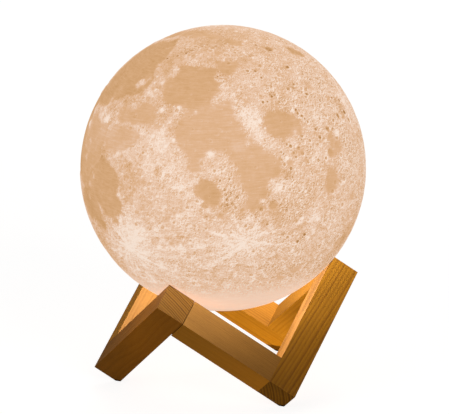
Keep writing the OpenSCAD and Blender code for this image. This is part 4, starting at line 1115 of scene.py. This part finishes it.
for node in ("base_cap", "neck_ring", "battery_housing"):
    dress(node, moulded("plastic_" + node, (0.8, 0.8, 0.77), 0.42, speckle=0.025, grain_mm=0.35, bump_mm=0.015))
dress("power_button", moulded("button_rubber", (0.56, 0.58, 0.6), 0.55, speckle=0.03, grain_mm=0.25, bump_mm=0.012))
dress("switch_plunger", moulded("plunger_plastic", (0.035, 0.035, 0.038), 0.4, speckle=0.2, bump_mm=0.01))
for node in ("cap_screws", "housing_screws", "led_screws"):
    dress(node, brushed("zinc_" + node, (0.6, 0.61, 0.63), 0.33, (1, 1, 0.2)))
dress("tact_switch", brushed("switch_steel", (0.62, 0.63, 0.65), 0.3, (0.15, 1, 1)))
dress("charging_socket", brushed("socket_steel", (0.66, 0.66, 0.67), 0.26, (0.15, 1, 1)))
dress("control_board", board("mask_green", (0.012, 0.12, 0.04), (0.03, 0.22, 0.075), (0.6, 0.46, 0.2)))
dress("led_board", board("mask_white", (0.78, 0.78, 0.75), (0.7, 0.7, 0.66), (0.62, 0.6, 0.55)))
dress("board_chips", moulded("chip_resin", (0.03, 0.03, 0.033), 0.5, speckle=0.3, grain_mm=0.2))
dress("led_chips", phosphor("phosphor_led_chips", 1.2))
dress("indicator_led", phosphor("phosphor_indicator_led", 0.4))
dress("indicator_light_pipe", clear_plastic())
dress("battery", pouch_foil())
dress("battery_foam", foam())
for node in ("battery_leads", "led_leads"):
    dress(node, leads("silicone_" + node))


# ---------------------------------------------------------------- lights
WOOD = [NODES[bar[0]] for bar in BARS]
PARTS = [ob for node, ob in NODES.items() if ob not in WOOD and node != "moon_shell"]
DAYLIGHT = (1.0, 0.97, 0.93)
TABLE = (1.0, 0.74, 0.15)


def add_light(kind, name, place, size, watts, colour, aim=(0, 0, 0.09), only=None):
    data = bpy.data.lights.new(name, kind)
    if kind == "AREA":
        data.shape = "DISK"
        data.size = size
    else:
        data.shadow_soft_size = size
    data.energy = watts
    data.color = colour
    ob = bpy.data.objects.new(name, data)
    scene.collection.objects.link(ob)
    ob.location = place
    ob.rotation_euler = (Vector(aim) - Vector(place)).to_track_quat("-Z", "Y").to_euler()
    ob.visible_camera = False
    if only is not None:
        ob.light_linking.receiver_collection = collect("lit_by_" + name, only)
    return ob


def collect(name, things):
    collection = bpy.data.collections.new(name)
    for ob in things:
        collection.objects.link(ob)
    return collection


def add_lights():
    # Studio lights on the ball, the parts and the floor
    rest = [moon, bpy.data.objects["floor"]] + PARTS
    add_light("AREA", "key", (1.2, -2.2, 1.2), 1.2, 16.0, DAYLIGHT, only=rest)
    add_light("AREA", "fill", (-1.9, -1.4, 0.8), 1.6, 7.0, (1.0, 0.97, 0.94), only=rest)
    add_light("AREA", "rim", (0.3, 2.0, 1.6), 1.2, 10.0, DAYLIGHT)
    # The stand's key fades towards the floor
    slope = add_light("SPOT", "slope", (0.49, -0.85, 0.93), 0.02, 81.0, (1.0, 0.96, 0.9), aim=(0, 0, 0.25), only=WOOD)
    slope.data.spot_size = math.radians(19.0)
    slope.data.spot_blend = 0.42
    # Warm light that comes back off the table, the most of it from under the ball
    add_light("AREA", "table", (0.02, 0, 0.001), 0.5, 0.27, TABLE, aim=(0.02, 0, 1.0), only=WOOD)
    add_light("AREA", "under", (0, 0.02, 0.004), 0.1, 0.042, TABLE, aim=(0, 0.02, 1.0), only=WOOD)


def add_glow():
    """The lamp's own light, which lights the stand and the lamp's inner parts, not the ball or the floor, and passes
    through the ball.
    """
    glow = add_light("POINT", "glow", tuple(BALL / 1000), 0.045, 1.83, (1.0, 0.88, 0.7), only=WOOD + PARTS)
    glow.parent = BODIES["moon"]
    shades = collect("shades_glow", WOOD + [NODES["base_cap"], NODES["neck_ring"]])
    glow.light_linking.blocker_collection = shades


add_lights()
add_glow()
